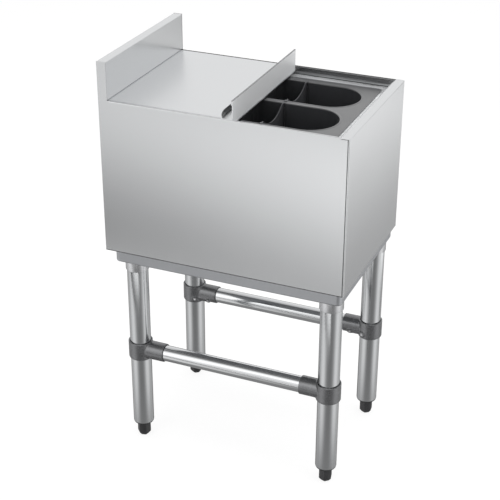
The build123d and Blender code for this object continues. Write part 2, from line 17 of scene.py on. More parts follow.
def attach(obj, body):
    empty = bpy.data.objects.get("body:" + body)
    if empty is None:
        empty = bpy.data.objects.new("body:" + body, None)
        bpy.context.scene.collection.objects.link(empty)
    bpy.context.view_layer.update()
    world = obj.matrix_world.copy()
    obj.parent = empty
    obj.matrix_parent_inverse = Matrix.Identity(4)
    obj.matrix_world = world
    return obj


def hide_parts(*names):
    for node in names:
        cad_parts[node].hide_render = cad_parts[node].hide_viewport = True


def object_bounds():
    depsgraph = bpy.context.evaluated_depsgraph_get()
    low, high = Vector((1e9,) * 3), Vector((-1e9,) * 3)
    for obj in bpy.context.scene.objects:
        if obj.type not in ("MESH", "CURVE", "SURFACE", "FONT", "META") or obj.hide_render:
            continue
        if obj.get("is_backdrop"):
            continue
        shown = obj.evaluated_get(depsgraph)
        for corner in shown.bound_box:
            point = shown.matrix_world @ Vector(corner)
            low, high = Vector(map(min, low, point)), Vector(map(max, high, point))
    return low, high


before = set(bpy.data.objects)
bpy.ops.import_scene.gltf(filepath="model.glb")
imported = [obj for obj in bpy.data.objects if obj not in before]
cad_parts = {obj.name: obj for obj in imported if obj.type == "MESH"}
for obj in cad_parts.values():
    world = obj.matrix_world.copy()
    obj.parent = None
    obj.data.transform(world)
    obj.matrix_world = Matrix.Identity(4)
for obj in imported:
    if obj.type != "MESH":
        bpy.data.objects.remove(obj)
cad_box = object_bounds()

log = logging.getLogger("ice_bin")

MILLIMETRE = 0.001
SIDES_OF_HEXAGON = 6
SIDES_OF_ROUND = 96
SIDES_OF_SMALL_ROUND = 48
# How far apart in millimetres two points may be and count as one, or as being at one place
DOUBLED = 0.002
NEAR = 0.1
# Edges that turn by more than this many degrees stay sharp
SHARP_TURN = 32.0
ALONG_X = (1, 0, 0)
ALONG_Y = (0, 1, 0)
UPWARDS = (0, 0, 1)

Point = tuple[float, float, float]
# A band on a sheet: its axis, its middle and reach in millimetres, and the share that it takes away
Strip = tuple[str, float, float, float]
# A corner of a turned profile: radius, height and, where it has one, rounding, in millimetres
Corner = tuple[float, ...]
Profile = list[tuple[float, float]]
Thing = bpy.types.Object


class Place(Enum):
    """A side or an end of the bin, as the sign of its axis."""

    @property
    def word(self) -> str:
        """The place's name as the nodes spell it."""
        return self.name.lower()


class Side(Place):
    """The two sides of the bin, as the sign of X."""

    LEFT = -1
    RIGHT = 1


class End(Place):
    """The two ends of the bin, as the sign of Y."""

    FRONT = -1
    REAR = 1


class Grain(Enum):
    """The direction in which a sheet or tube was brushed, as the index of an axis."""

    ACROSS = 0
    ALONG = 1
    UPRIGHT = 2


class Pick(Enum):
    """What a selection in edit mode is made of, as Blender names it."""

    POINTS = "VERT"
    LINES = "EDGE"
    FACES = "FACE"


class Cut(Enum):
    """How one solid changes another, as Blender names it."""

    REMOVE = "DIFFERENCE"
    ADD = "UNION"


class Texture(Enum):
    """How many octaves a noise has, and how strong the finer ones are."""

    WAVES = (1.5, 0.5)
    GRIT = (2.0, 0.5)
    PATCHES = (3.0, 0.5)
    GRAINS = (3.0, 0.6)
    LINES = (3.0, 0.65)
    CLOUDS = (4.0, 0.6)


CORNERS = {f"{end.word}_{side.word}": (end, side) for side in Side for end in End}


def operator(operation: str, reflected: bool = False) -> Callable[["Value", Any], "Value"]:
    """Makes a method of Value that adds one Math node of two terms.

    Args:
        operation: The Math node's operation.
        reflected: Whether the other term comes first.

    Returns:
        The method.
    """

    def method(this: "Value", other: "Value | float") -> "Value":
        """The Math node's result for this and other."""
        return this.maths(operation, *((other, this) if reflected else (this, other)))

    return method


class Value:
    """A shader socket whose arithmetic adds Math nodes to its tree."""

    def __init__(self, tree: "Mixer", socket: bpy.types.NodeSocket) -> None:
        """Keeps an output socket and the mixer that adds nodes to its tree."""
        self.tree = tree
        self.socket = socket

    def maths(self, operation: str, *terms: "Value | float") -> "Value":
        """The result of one new Math node, from its operation and its terms in order."""
        return self.tree.add("ShaderNodeMath", {"operation": operation}, dict(enumerate(terms)))

    __add__, __radd__ = operator("ADD"), operator("ADD", reflected=True)
    __sub__, __rsub__ = operator("SUBTRACT"), operator("SUBTRACT", reflected=True)
    __mul__, __rmul__ = operator("MULTIPLY"), operator("MULTIPLY", reflected=True)
    __truediv__ = operator("DIVIDE")
    __pow__ = operator("POWER")
    at_most = operator("MINIMUM")
    at_least = operator("MAXIMUM")

    def within(self, low: float, high: float) -> "Value":
        """This, held between two limits."""
        return self.at_least(low).at_most(high)

    def swing(self, amount: float) -> "Value":
        """How far a noise lies from its middle, times an amount."""
        return (self - 0.5) * amount


class Mixer:
    """Builds the nodes of one material or of the world."""

    def __init__(self, tree: bpy.types.NodeTree) -> None:
        """Empties a tree and takes it over.

        Args:
            tree: The node tree to build in.
        """
        self.tree = tree
        tree.nodes.clear()

    def add(self, kind: str, settings: dict[str, Any], inputs: dict[Any, Any], output: Any = 0) -> Value:
        """Adds any node.

        Args:
            kind: The node's type.
            settings: Properties of the node, which are set first. A ramp's stops are a list of
                position and grey or colour under the name stops.
            inputs: Numbers, colours or values for its sockets, by name or index.
            output: The output to hand back, by name or index.

        Returns:
            That output.
        """
        node = self.tree.nodes.new(kind)
        for name, value in settings.items():
            if name == "stops":
                self.set_stops(node.color_ramp, value)
            else:
                setattr(node, name, value)
        for name, value in inputs.items():
            if isinstance(value, Value):
                self.tree.links.new(value.socket, node.inputs[name])
            else:
                node.inputs[name].default_value = value
        return Value(self, node.outputs[output])

    @staticmethod
    def set_stops(ramp: bpy.types.ColorRamp, stops: Sequence[tuple[float, Any]]) -> None:
        """Gives a colour ramp its stops.

        Args:
            ramp: The ramp to change.
            stops: Pairs of position and grey or colour, in order.
        """
        while len(ramp.elements) < len(stops):
            ramp.elements.new(1.0)
        for element, (place, shade) in zip(ramp.elements, stops):
            element.position = place
            element.color = rgba(shade)

    def show(self, kind: str, shader: Value) -> None:
        """Ends the tree in its output node.

        Args:
            kind: The output node's type.
            shader: What it shows.
        """
        output = self.tree.nodes.new(kind)
        self.tree.links.new(shader.socket, output.inputs["Surface"])

    def place(self, scale: Point = (1, 1, 1), turn: float = 0.0) -> Value:
        """Object coordinates in metres, turned and scaled.

        Args:
            scale: The factor for each axis.
            turn: The pattern's turn about the Z axis, in degrees.

        Returns:
            The vector.
        """
        spot = self.add("ShaderNodeTexCoord", {}, {}, "Object")
        turns = (0, 0, math.radians(turn))
        return self.add("ShaderNodeMapping", {}, {"Vector": spot, "Rotation": turns, "Scale": scale})

    def even(self, size: float) -> Value:
        """Object coordinates for a pattern of one size in millimetres on every axis."""
        return self.place((1 / (size * MILLIMETRE),) * 3)

    def axis(self, vector: Value, name: str) -> Value:
        """One axis of a vector."""
        return self.add("ShaderNodeSeparateXYZ", {}, {0: vector}, name)

    def noise(self, place: Value, texture: Texture) -> Value:
        """Noise from 0 to 1 over a placed vector, of one kind of texture."""
        detail, roughness = texture.value
        inputs = {"Vector": place, "Scale": 1.0, "Detail": detail, "Roughness": roughness}
        return self.add("ShaderNodeTexNoise", {"noise_dimensions": "3D"}, inputs)

    def ramp(self, factor: Value, stops: Sequence[tuple[float, Any]]) -> Value:
        """The shade that a factor from 0 to 1 picks between stops of position and grey."""
        return self.add("ShaderNodeValToRGB", {"stops": stops}, {0: factor})

    def blend(self, factor: Value | float, first: Any, second: Any) -> Value:
        """A mix of two colours, from the share of the second."""
        colours = {0: factor, 6: rgba(first), 7: rgba(second)}
        return self.add("ShaderNodeMix", {"data_type": "RGBA"}, colours, 2)

    def bump(self, height: Value, depth: float, under: Value | None = None) -> Value:
        """Turns a height into a normal.

        Args:
            height: The height, from 0 to 1.
            depth: How deep 1 is, in millimetres.
            under: A normal that this one is added to.

        Returns:
            The normal.
        """
        inputs = {"Height": height, "Distance": depth * MILLIMETRE}
        if under is not None:
            inputs["Normal"] = under
        return self.add("ShaderNodeBump", {}, inputs, "Normal")


def rgba(shade: Any) -> Any:
    """A grey or colour as four numbers, and a value as it is."""
    if isinstance(shade, Value):
        return shade
    if isinstance(shade, (int, float)):
        return (shade, shade, shade, 1.0)
    return (*shade[:3], 1.0)


def scaled(colour: Point, factor: float) -> Point:
    """A colour made lighter or darker."""
    return tuple(factor * c for c in colour)


def filled_material(name: str, fill: Callable[[Mixer], Value]) -> bpy.types.Material:
    """Makes a material.

    Args:
        name: The material's name.
        fill: Adds its nodes with a mixer and gives the shader that it shows.

    Returns:
        The material.
    """
    made = bpy.data.materials.new(name)
    made.use_nodes = True
    mixer = Mixer(made.node_tree)
    mixer.show("ShaderNodeOutputMaterial", fill(mixer))
    return made


@dataclass(frozen=True)
class Finish(ABC):
    """A surface finish: every one has a name, a colour, a roughness and a darker and a lighter shade."""

    name: str
    colour: Point
    roughness: float
    shades: ClassVar[tuple[float, float]] = (0.5, 1.5)

    @abstractmethod
    def shader(self, mixer: Mixer) -> dict[str, Any]:
        """The inputs of the finish's Principled shader.

        Args:
            mixer: Adds the finish's nodes.

        Returns:
            Numbers, colours and values by the name of their socket.
        """

    def shaded(self, mixer: Mixer, factor: Value) -> Value:
        """The colour, from its darker to its lighter shade as a factor goes from 0 to 1."""
        dark, light = self.shades
        return mixer.blend(factor, scaled(self.colour, dark), scaled(self.colour, light))

    def material(self) -> bpy.types.Material:
        """The finish as a material, made once and then found by its name."""
        return bpy.data.materials.get(self.name) or filled_material(self.name, self.surface)

    def surface(self, mixer: Mixer) -> Value:
        """The finish's Principled shader."""
        return mixer.add("ShaderNodeBsdfPrincipled", {}, self.shader(mixer), "BSDF")


@dataclass(frozen=True)
class BrushedSteel(Finish):
    """Satin stainless steel with fine brushed lines along one axis and faint clouds of wear."""

    grain: Grain = Grain.ALONG
    line_pitch: float = 0.7
    line_length: float = 70.0
    line_depth: float = 0.004
    line_contrast: float = 0.06
    line_shine: float = 0.14
    cloud_size: float = 140.0
    cloud_contrast: float = 0.05
    cloud_shine: float = 0.1
    turn: float = 0.0
    wave_pitch: float = 22.0
    wave_length: float = 160.0
    wave_depth: float = 0.0
    metallic: float = 1.0
    # Strips in which the colour is drawn towards black: painted shade
    seams: tuple[Strip, ...] = ()
    matt: tuple[Strip, ...] = ()

    def bare(self, mixer: Mixer, strips: tuple[Strip, ...]) -> Value | float:
        """What is left outside some strips of the sheet.

        Args:
            mixer: Adds the nodes.
            strips: The strips, each with the share that it takes away.

        Returns:
            1 outside the strips, and less inside them.
        """
        left: Value | float = 1.0
        for axis, centre, reach, share in strips:
            place = mixer.axis(mixer.place(), axis)
            strip = place.maths("COMPARE", place, centre * MILLIMETRE, reach * MILLIMETRE)
            left = (1 - strip * share) * left
        return left

    def stretched(self, mixer: Mixer, pitch: float, length: float) -> Value:
        """Object coordinates in which a pattern is drawn out along the grain.

        Args:
            mixer: Adds the nodes.
            pitch: The pattern's size across the grain, in millimetres.
            length: Its size along the grain, in millimetres.

        Returns:
            The vector.
        """
        scale = [1 / (pitch * MILLIMETRE)] * 3
        scale[self.grain.value] = 1 / (length * MILLIMETRE)
        return mixer.place(tuple(scale), self.turn)

    def shader(self, mixer: Mixer) -> dict[str, Any]:
        """Brushed lines in the colour, the roughness and a shallow bump, over slow waves, with strips of
        painted shade.

        Args:
            mixer: Adds the finish's nodes.

        Returns:
            Numbers, colours and values by the name of their socket.
        """
        lines = mixer.noise(self.stretched(mixer, self.line_pitch, self.line_length), Texture.LINES)
        clouds = mixer.noise(mixer.even(self.cloud_size), Texture.CLOUDS)
        colour = self.shaded(mixer, lines.swing(self.line_contrast) + clouds.swing(self.cloud_contrast) + 0.5)
        # Painted shade: the colour is darkened towards black inside the strips
        if self.seams:
            colour = mixer.blend(self.bare(mixer, self.seams), 0.0, colour)
        inputs = {
            "Base Color": colour,
            "Metallic": self.bare(mixer, self.matt) * self.metallic,
            "Roughness": lines.swing(self.line_shine) + clouds.swing(self.cloud_shine) + self.roughness,
        }
        if self.line_depth:
            inputs["Normal"] = mixer.bump(lines, self.line_depth)
        if self.wave_depth:
            waves = mixer.noise(self.stretched(mixer, self.wave_pitch, self.wave_length), Texture.WAVES)
            inputs["Normal"] = mixer.bump(waves, self.wave_depth, inputs["Normal"])
        return inputs


@dataclass(frozen=True)
class MouldedPlastic(Finish):
    """Moulded plastic with a fine spark eroded texture and, on shiny parts, faint haze."""

    texture_size: float = 0.5
    texture_depth: float = 0.012
    texture_shine: float = 0.12
    haze_size: float = 1000 / 30
    haze_shine: float = 0.16
    gloss_coat: float = 0.0
    coat_roughness: float = 0.3
    shades: ClassVar[tuple[float, float]] = (0.85, 1.2)

    def shader(self, mixer: Mixer) -> dict[str, Any]:
        """A dull and a shiny side of the texture, and its bump.

        Args:
            mixer: Adds the finish's nodes.

        Returns:
            Numbers, colours and values by the name of their socket.
        """
        grit = mixer.noise(mixer.even(self.texture_size), Texture.GRIT)
        haze = mixer.noise(mixer.even(self.haze_size), Texture.CLOUDS)
        return {
            "Base Color": self.shaded(mixer, haze),
            "Roughness": grit.swing(self.texture_shine) + haze.swing(self.haze_shine) + self.roughness,
            "Coat Weight": self.gloss_coat,
            "Coat Roughness": self.coat_roughness,
            "Normal": mixer.bump(grit, self.texture_depth),
        }


@dataclass(frozen=True)
class CoatedCasting(Finish):
    """Cast metal under a thin satin coat that still shows the sand's grain."""

    grain_size: float = 1.1
    grain_depth: float = 0.03
    grain_shine: float = 0.25
    hollow_shade: float = 0.75
    patch_size: float = 1000 / 70
    patch_shine: float = 0.12
    metallic: float = 0.8
    shades: ClassVar[tuple[float, float]] = (0.8, 1.25)

    def shader(self, mixer: Mixer) -> dict[str, Any]:
        """The grain as a bump, with slightly duller and darker hollows.

        Args:
            mixer: Adds the finish's nodes.

        Returns:
            Numbers, colours and values by the name of their socket.
        """
        grains = mixer.noise(mixer.even(self.grain_size), Texture.GRAINS)
        patches = mixer.noise(mixer.even(self.patch_size), Texture.PATCHES)
        hollows = scaled(self.colour, self.hollow_shade)
        return {
            "Base Color": mixer.blend(grains, hollows, self.shaded(mixer, patches)),
            "Metallic": self.metallic,
            "Roughness": grains.swing(-self.grain_shine) + patches.swing(self.patch_shine) + self.roughness,
            "Normal": mixer.bump(grains, self.grain_depth),
        }


@dataclass(frozen=True)
class CutFoam(Finish):
    """Closed cell foam with the open cells of a cut face."""

    cell_size: float = 1.6
    cell_depth: float = 0.4
    shades: ClassVar[tuple[float, float]] = (0.7, 1.0)

    def shader(self, mixer: Mixer) -> dict[str, Any]:
        """Cells as small dark pits.

        Args:
            mixer: Adds the finish's nodes.

        Returns:
            Numbers, colours and values by the name of their socket.
        """
        inputs = {"Vector": mixer.even(self.cell_size), "Scale": 1.0}
        cells = mixer.add("ShaderNodeTexVoronoi", {}, inputs, "Distance")
        return {
            "Base Color": self.shaded(mixer, cells),
            "Roughness": self.roughness,
            "Normal": mixer.bump(cells, self.cell_depth),
        }


GREY_STEEL = (0.62, 0.63, 0.64)
PALE_STEEL = (0.73, 0.74, 0.75)
# Big sheets are brushed so evenly that their lines hardly show
EVENLY_BRUSHED = {
    "line_pitch": 1.2, "line_contrast": 0.006, "line_shine": 0.0, "line_depth": 0.0, "cloud_shine": 0.02,
}
# Painted shade: dark lines in the sides' colour along each side's bottom bend over the pan, and along the
# front skin, where only a real hairline gap lies
SIDE_SEAM_SHADE = (("Z", 430.0, 1.2, 0.85), ("Y", -234.6, 0.8, 0.75))
# Painted shade: the far side's hem top and inner face darkened in their colour
FAR_HEM_SHADE = (("X", 155.0, 2.4, 0.93), ("X", 152.0, 0.5, 0.7))
SIDE_SHEET = BrushedSteel(
    "brushed_side_sheet", PALE_STEEL, 0.27, Grain.ALONG, seams=SIDE_SEAM_SHADE, **EVENLY_BRUSHED
)
# The far side's copy of the side sheet carries the painted shade on its hem
FAR_SIDE_SHEET = replace(SIDE_SHEET, name="brushed_far_side_sheet", seams=SIDE_SEAM_SHADE + FAR_HEM_SHADE)
FRONT_SHEET = BrushedSteel(
    "brushed_front_sheet", PALE_STEEL, 0.27, Grain.ACROSS, matt=(("Y", -218.0, 4.2, 1.0),), **EVENLY_BRUSHED
)
# Painted shade: the deck's front nose, where it turns down, is darkened in its colour
DECK_SHEET = BrushedSteel(
    "brushed_deck_sheet", (0.75, 0.76, 0.77), 0.3, Grain.ACROSS,
    line_contrast=0.03, line_shine=0.02, line_depth=0.0, seams=(("Z", 726.0, 4.6, 0.92),),
)
# Painted shade: a dark line in the lid's colour along the top edge of its handle
LID_SHEET = BrushedSteel(
    "brushed_lid_sheet", (0.84, 0.85, 0.86), 0.42, Grain.ACROSS,
    seams=(("Z", 765.9, 1.1, 0.75),), matt=(("Z", 745.0, 22.0, 0.8),),
)
# Painted shade: the liner's upper wall darkened in its colour, and a near black line at the foot of the ledge
LINER_SHEET = BrushedSteel(
    "streaked_liner_sheet", GREY_STEEL, 0.12, Grain.ALONG,
    line_pitch=2.6, line_length=90.0, line_contrast=2.2, turn=38.0,
    metallic=0.45, seams=(("Z", 720.5, 3.0, 0.6), ("Z", 716.7, 0.8, 0.96)),
)
PAN_SHEET = BrushedSteel("galvanised_pan_sheet", (0.5, 0.51, 0.53), 0.42, Grain.ALONG, cloud_contrast=0.12)
LEG_TUBE = BrushedSteel(
    "polished_leg_tube", GREY_STEEL, 0.2, Grain.UPRIGHT, wave_depth=0.002, wave_length=240.0
)
RAIL_TUBE = BrushedSteel(
    "polished_rail_tube", (0.7, 0.71, 0.72), 0.13, Grain.ALONG,
    wave_depth=0.09, wave_pitch=9.0, wave_length=70.0,
)
WELDED_STEEL = BrushedSteel("welded_socket_steel", (0.72, 0.725, 0.74), 0.26, Grain.UPRIGHT)
DRAIN_METAL = BrushedSteel("turned_drain_steel", (0.6, 0.6, 0.61), 0.28, Grain.UPRIGHT)
SCREW_METAL = BrushedSteel("bright_screw_steel", (0.8, 0.8, 0.81), 0.2, Grain.UPRIGHT)
WELL_PLASTIC = MouldedPlastic("black_well_plastic", (0.034, 0.035, 0.038), 0.36, gloss_coat=1.0)
DIVIDER_PLASTIC = MouldedPlastic("black_divider_plastic", (0.045, 0.046, 0.05), 0.35, gloss_coat=0.4)
FOOT_PLASTIC = MouldedPlastic("black_foot_plastic", (0.03, 0.03, 0.032), 0.42)
GLIDE_NYLON = MouldedPlastic("natural_nylon", (0.72, 0.71, 0.66), 0.4)
GASKET_RUBBER = MouldedPlastic("matt_rubber", (0.02, 0.02, 0.02), 0.7)
TEE_COAT = CoatedCasting("grey_coated_casting", (0.24, 0.243, 0.25), 0.24)
FOAM = CutFoam("insulating_foam", (0.75, 0.66, 0.42), 0.9)

NODE_FINISHES = {
    "front_panel": FRONT_SHEET,
    "back_panel": FRONT_SHEET,
    "backsplash": FRONT_SHEET,
    "side_panel": SIDE_SHEET,
    "side_panel_right": FAR_SIDE_SHEET,
    "top_deck": DECK_SHEET,
    "ice_liner": LINER_SHEET,
    "insulation": FOAM,
    "bottom_pan": PAN_SHEET,
    "sliding_lid": LID_SHEET,
    "lid_glide": GLIDE_NYLON,
    "drain_gasket": GASKET_RUBBER,
    "drain": DRAIN_METAL,
}


def dress_sheets() -> None:
    """Gives each CAD node that keeps its own shape its finish."""
    for node in sorted(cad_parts):
        keys = [key for key in NODE_FINISHES if node.startswith(key)]
        if not keys:
            continue
        finish = NODE_FINISHES[max(keys, key=len)]
        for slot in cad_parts[node].material_slots:
            slot.material = finish.material()
        log.info("dressed %s in %s", node, finish.name)


def only(piece: Thing) -> None:
    """Deselects all, then selects one piece and makes it active."""
    bpy.ops.object.select_all(action="DESELECT")
    piece.select_set(True)
    bpy.context.view_layer.objects.active = piece


@contextmanager
def editing(piece: Thing, pick: Pick = Pick.FACES) -> Iterator[None]:
    """Opens a piece in edit mode with all of it selected, and closes it again.

    Args:
        piece: The piece to edit.
        pick: What selections are made of.
    """
    only(piece)
    bpy.ops.object.mode_set(mode="EDIT")
    bpy.ops.mesh.select_mode(type=pick.value)
    bpy.ops.mesh.select_all(action="SELECT")
    yield
    bpy.ops.object.mode_set(mode="OBJECT")


def middle(item: Any) -> Vector:
    """The middle of a point, line or face of a mesh, in millimetres."""
    points = getattr(item, "verts", None) or [item]
    return sum((p.co for p in points), Vector()) / len(points) / MILLIMETRE


def choose(piece: Thing, pick: Pick, test: Callable[[Any], bool]) -> None:
    """Selects what passes a test, in edit mode, and nothing else.

    Args:
        piece: The piece that is open in edit mode.
        pick: What the selection is made of.
        test: Takes a point, line or face and says whether it is wanted.
    """
    bpy.ops.mesh.select_all(action="DESELECT")
    shape = bmesh.from_edit_mesh(piece.data)
    items = {Pick.POINTS: shape.verts, Pick.LINES: shape.edges, Pick.FACES: shape.faces}[pick]
    for item in items:
        if test(item):
            item.select_set(True)
    bmesh.update_edit_mesh(piece.data)


def near(first: float, second: float) -> bool:
    """True for two places on an axis, in metres, that hardly differ."""
    return abs(first - second) < NEAR * MILLIMETRE


def raise_by(rise: float) -> None:
    """Extrudes the selection upwards by some millimetres, or downwards where they are negative."""
    bpy.ops.mesh.extrude_region_move(TRANSFORM_OT_translate={"value": (0, 0, rise * MILLIMETRE)})


def widen_by(factor: float, level: float = 0.0) -> None:
    """Scales the selection about the Z axis and away from it, at a level in metres."""
    bpy.ops.transform.resize(value=(factor, factor, 1), center_override=(0, 0, level))


def merge_doubles(gap: float = DOUBLED) -> None:
    """Makes one point of selected points that are no further apart than a gap in millimetres."""
    bpy.ops.mesh.remove_doubles(threshold=gap * MILLIMETRE)


def cut_off(height: float, **side: bool) -> None:
    """Cuts all of the open piece level at a height in millimetres, and closes the cut.

    Args:
        height: Where it is cut.
        side: clear_outer to take off what is above, or clear_inner for what is below.
    """
    bpy.ops.mesh.select_all(action="SELECT")
    plane = {"plane_co": (0, 0, height * MILLIMETRE), "plane_no": UPWARDS}
    bpy.ops.mesh.bisect(use_fill=True, **plane, **side)


def tidy_shell(piece: Thing) -> None:
    """Merges doubled points and points every face outwards."""
    with editing(piece):
        merge_doubles()
        bpy.ops.mesh.normals_make_consistent(inside=False)


def smooth(piece: Thing, angle: float = SHARP_TURN) -> None:
    """Shades a piece smooth, with an edge where faces turn by more than an angle in degrees."""
    only(piece)
    bpy.ops.object.shade_smooth_by_angle(angle=math.radians(angle))


def modify(piece: Thing, kind: str, **settings: Any) -> None:
    """Adds one modifier and applies it.

    Args:
        piece: The piece to change.
        kind: The modifier's type.
        settings: The modifier's settings by name.
    """
    only(piece)
    modifier = piece.modifiers.new(kind.lower(), kind)
    for name, value in settings.items():
        setattr(modifier, name, value)
    bpy.ops.object.modifier_apply(modifier=modifier.name)


def soften(piece: Thing, width: float, steps: int = 2, angle: float = SHARP_TURN) -> None:
    """Rounds every edge that turns by more than an angle.

    Args:
        piece: The piece to change.
        width: How wide the rounding is, in millimetres.
        steps: How many faces it has across.
        angle: The least turn in degrees.
    """
    settings = {"width": width * MILLIMETRE, "segments": steps, "angle_limit": math.radians(angle)}
    modify(piece, "BEVEL", limit_method="ANGLE", use_clamp_overlap=True, **settings)


def discard(*pieces: Thing) -> None:
    """Deletes pieces that have done their work."""
    for piece in pieces:
        bpy.data.objects.remove(piece, do_unlink=True)


def combine(piece: Thing, tool: Thing, how: Cut = Cut.REMOVE) -> None:
    """Removes one solid from another or adds it, and uses it up.

    Args:
        piece: The solid that stays.
        tool: The solid that is used up.
        how: Whether the tool is removed or added.
    """
    modify(piece, "BOOLEAN", operation=how.value, object=tool, solver="EXACT")
    discard(tool)


def join(pieces: list[Thing]) -> Thing:
    """Makes one piece of several.

    Args:
        pieces: The pieces, of which the first keeps its name.

    Returns:
        The one piece.
    """
    only(pieces[0])
    for piece in pieces:
        piece.select_set(True)
    bpy.ops.object.join()
    return pieces[0]


def copied(piece: Thing, name: str) -> Thing:
    """A copy of a piece with its own mesh."""
    twin = piece.copy()
    twin.data = piece.data.copy()
    twin.name = name
    bpy.context.scene.collection.objects.link(twin)
    return twin


def placed(piece: Thing, matrix: Matrix) -> Thing:
    """Moves a piece by a matrix in metres, in its mesh, and keeps its faces pointing outwards.

    Args:
        piece: The piece to move.
        matrix: Where it goes, which may mirror it.

    Returns:
        The same piece.
    """
    only(piece)
    piece.matrix_world = matrix
    bpy.ops.object.transform_apply(location=True, rotation=True, scale=True)
    if matrix.determinant() < 0:
        with editing(piece):
            bpy.ops.mesh.normals_make_consistent(inside=False)
    return piece


def shifted(x: float, y: float, z: float) -> Matrix:
    """A move in millimetres as a matrix in metres."""
    return Matrix.Translation(Vector((x, y, z)) * MILLIMETRE)


def facing(origin: Point, across: Point, outward: Point) -> Matrix:
    """A matrix that stands a piece on a point, turned.

    Args:
        origin: Where the piece's origin goes, in millimetres.
        across: The direction that its X axis takes.
        outward: The direction that its Z axis takes.

    Returns:
        The matrix in metres.
    """
    x_axis, z_axis = Vector(across).normalized(), Vector(outward).normalized()
    turn = Matrix((x_axis, z_axis.cross(x_axis), z_axis)).transposed().to_4x4()
    return shifted(*origin) @ turn


def added(name: str) -> Thing:
    """The primitive that was just added, named, with its place in its mesh."""
    piece = bpy.context.object
    piece.name = name
    bpy.ops.object.transform_apply(location=True, rotation=True, scale=True)
    return piece


def bar(name: str, start: float, end: float, radius: float, sides: int = 64) -> Thing:
    """Bar along Z between two heights, round or with a few flat sides, in millimetres."""
    size = {"radius": radius * MILLIMETRE, "depth": (end - start) * MILLIMETRE}
    place = (0, 0, (start + end) / 2 * MILLIMETRE)
    bpy.ops.mesh.primitive_cylinder_add(vertices=sides, location=place, **size)
    return added(name)


def spanned(add: Callable[..., Any], name: str, *spans: Sequence[float]) -> Thing:
    """A primitive stretched between two places on each axis.

    Args:
        add: The operator that adds the primitive.
        name: The piece's name.
        spans: For each axis its two places, in millimetres.

    Returns:
        The piece.
    """
    add(size=MILLIMETRE, location=tuple((low + high) / 2 * MILLIMETRE for low, high in spans))
    bpy.context.object.scale = tuple(high - low or 1 for low, high in spans)
    return added(name)


def slab(name: str, x: Sequence[float], y: Sequence[float], z: Sequence[float]) -> Thing:
    """Block between two planes on each axis, each given as a pair in millimetres."""
    return spanned(bpy.ops.mesh.primitive_cube_add, name, x, y, z)


def plate(name: str, x: Sequence[float], y: Sequence[float], z: float) -> Thing:
    """Flat rectangle at a height, in millimetres."""
    return spanned(bpy.ops.mesh.primitive_plane_add, name, x, y, (z, z))


def rounded(corners: Sequence[Corner], steps: int, closed: bool) -> Profile:
    """A profile with some of its corners rounded.

    Args:
        corners: The profile's corners, of which those with no rounding stay sharp.
        steps: How many faces each rounding has.
        closed: Whether the last corner joins the first.

    Returns:
        Pairs of radius and height.
    """
    profile: Profile = []
    places = [Vector(corner[:2]) for corner in corners]
    for index, (here, corner) in enumerate(zip(places, corners)):
        fillet = corner[2] if len(corner) > 2 else 0.0
        at_end = index in (0, len(corners) - 1)
        if not fillet or (at_end and not closed):
            profile.append(corner[:2])
            continue
        back = (places[index - 1] - here).normalized()
        ahead = (places[(index + 1) % len(places)] - here).normalized()
        half = back.angle(ahead) / 2
        centre = here + (back + ahead).normalized() * fillet / math.sin(half)
        reach = fillet / math.tan(half)
        for step in range(steps + 1):
            chord = (here + back * reach).lerp(here + ahead * reach, step / steps)
            profile.append(tuple(centre + (chord - centre).normalized() * fillet))
    return profile


def turned(
    name: str,
    corners: Sequence[Corner],
    closed: bool = True,
    steps: int = 3,
    sides: int = SIDES_OF_ROUND,
) -> Thing:
    """A piece turned round the Z axis: a ring is drawn out and resized from point to point.

    Args:
        name: The piece's name.
        corners: The corners of its profile.
        closed: Whether the profile closes on itself; if not, both its ends are filled.
        steps: How many faces each rounding has.
        sides: How many sides the ring has.

    Returns:
        The piece.
    """
    profile = rounded(corners, steps, closed)
    radius, height = profile[0]
    fill = "NOTHING" if closed else "NGON"
    bpy.ops.mesh.primitive_circle_add(vertices=sides, radius=radius * MILLIMETRE, fill_type=fill)
    piece = added(name)
    with editing(piece, Pick.LINES if closed else Pick.FACES):
        bpy.ops.transform.translate(value=(0, 0, height * MILLIMETRE))
        for new_radius, new_height in profile[1:] + (profile[:1] if closed else []):
            raise_by(new_height - height)
            widen_by(new_radius / radius)
            radius, height = new_radius, new_height
    tidy_shell(piece)
    smooth(piece)
    return piece


def hand_over(piece: Thing, node: str, slot: str, finish: Finish, body: str = "bin") -> None:
    """Dresses a finished piece and lets it stand for its CAD node.

    Args:
        piece: The finished piece.
        node: The CAD node that it stands for.
        slot: The record's material slot. It is not used.
        finish: What it is finished in.
        body: The body that it rides on.
    """
    piece.name = f"{node}_piece"
    piece.data.materials.clear()
    piece.data.materials.append(finish.material())
    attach(piece, body)
    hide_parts(node)
    log.info("modelled %s with %d faces", piece.name, len(piece.data.polygons))


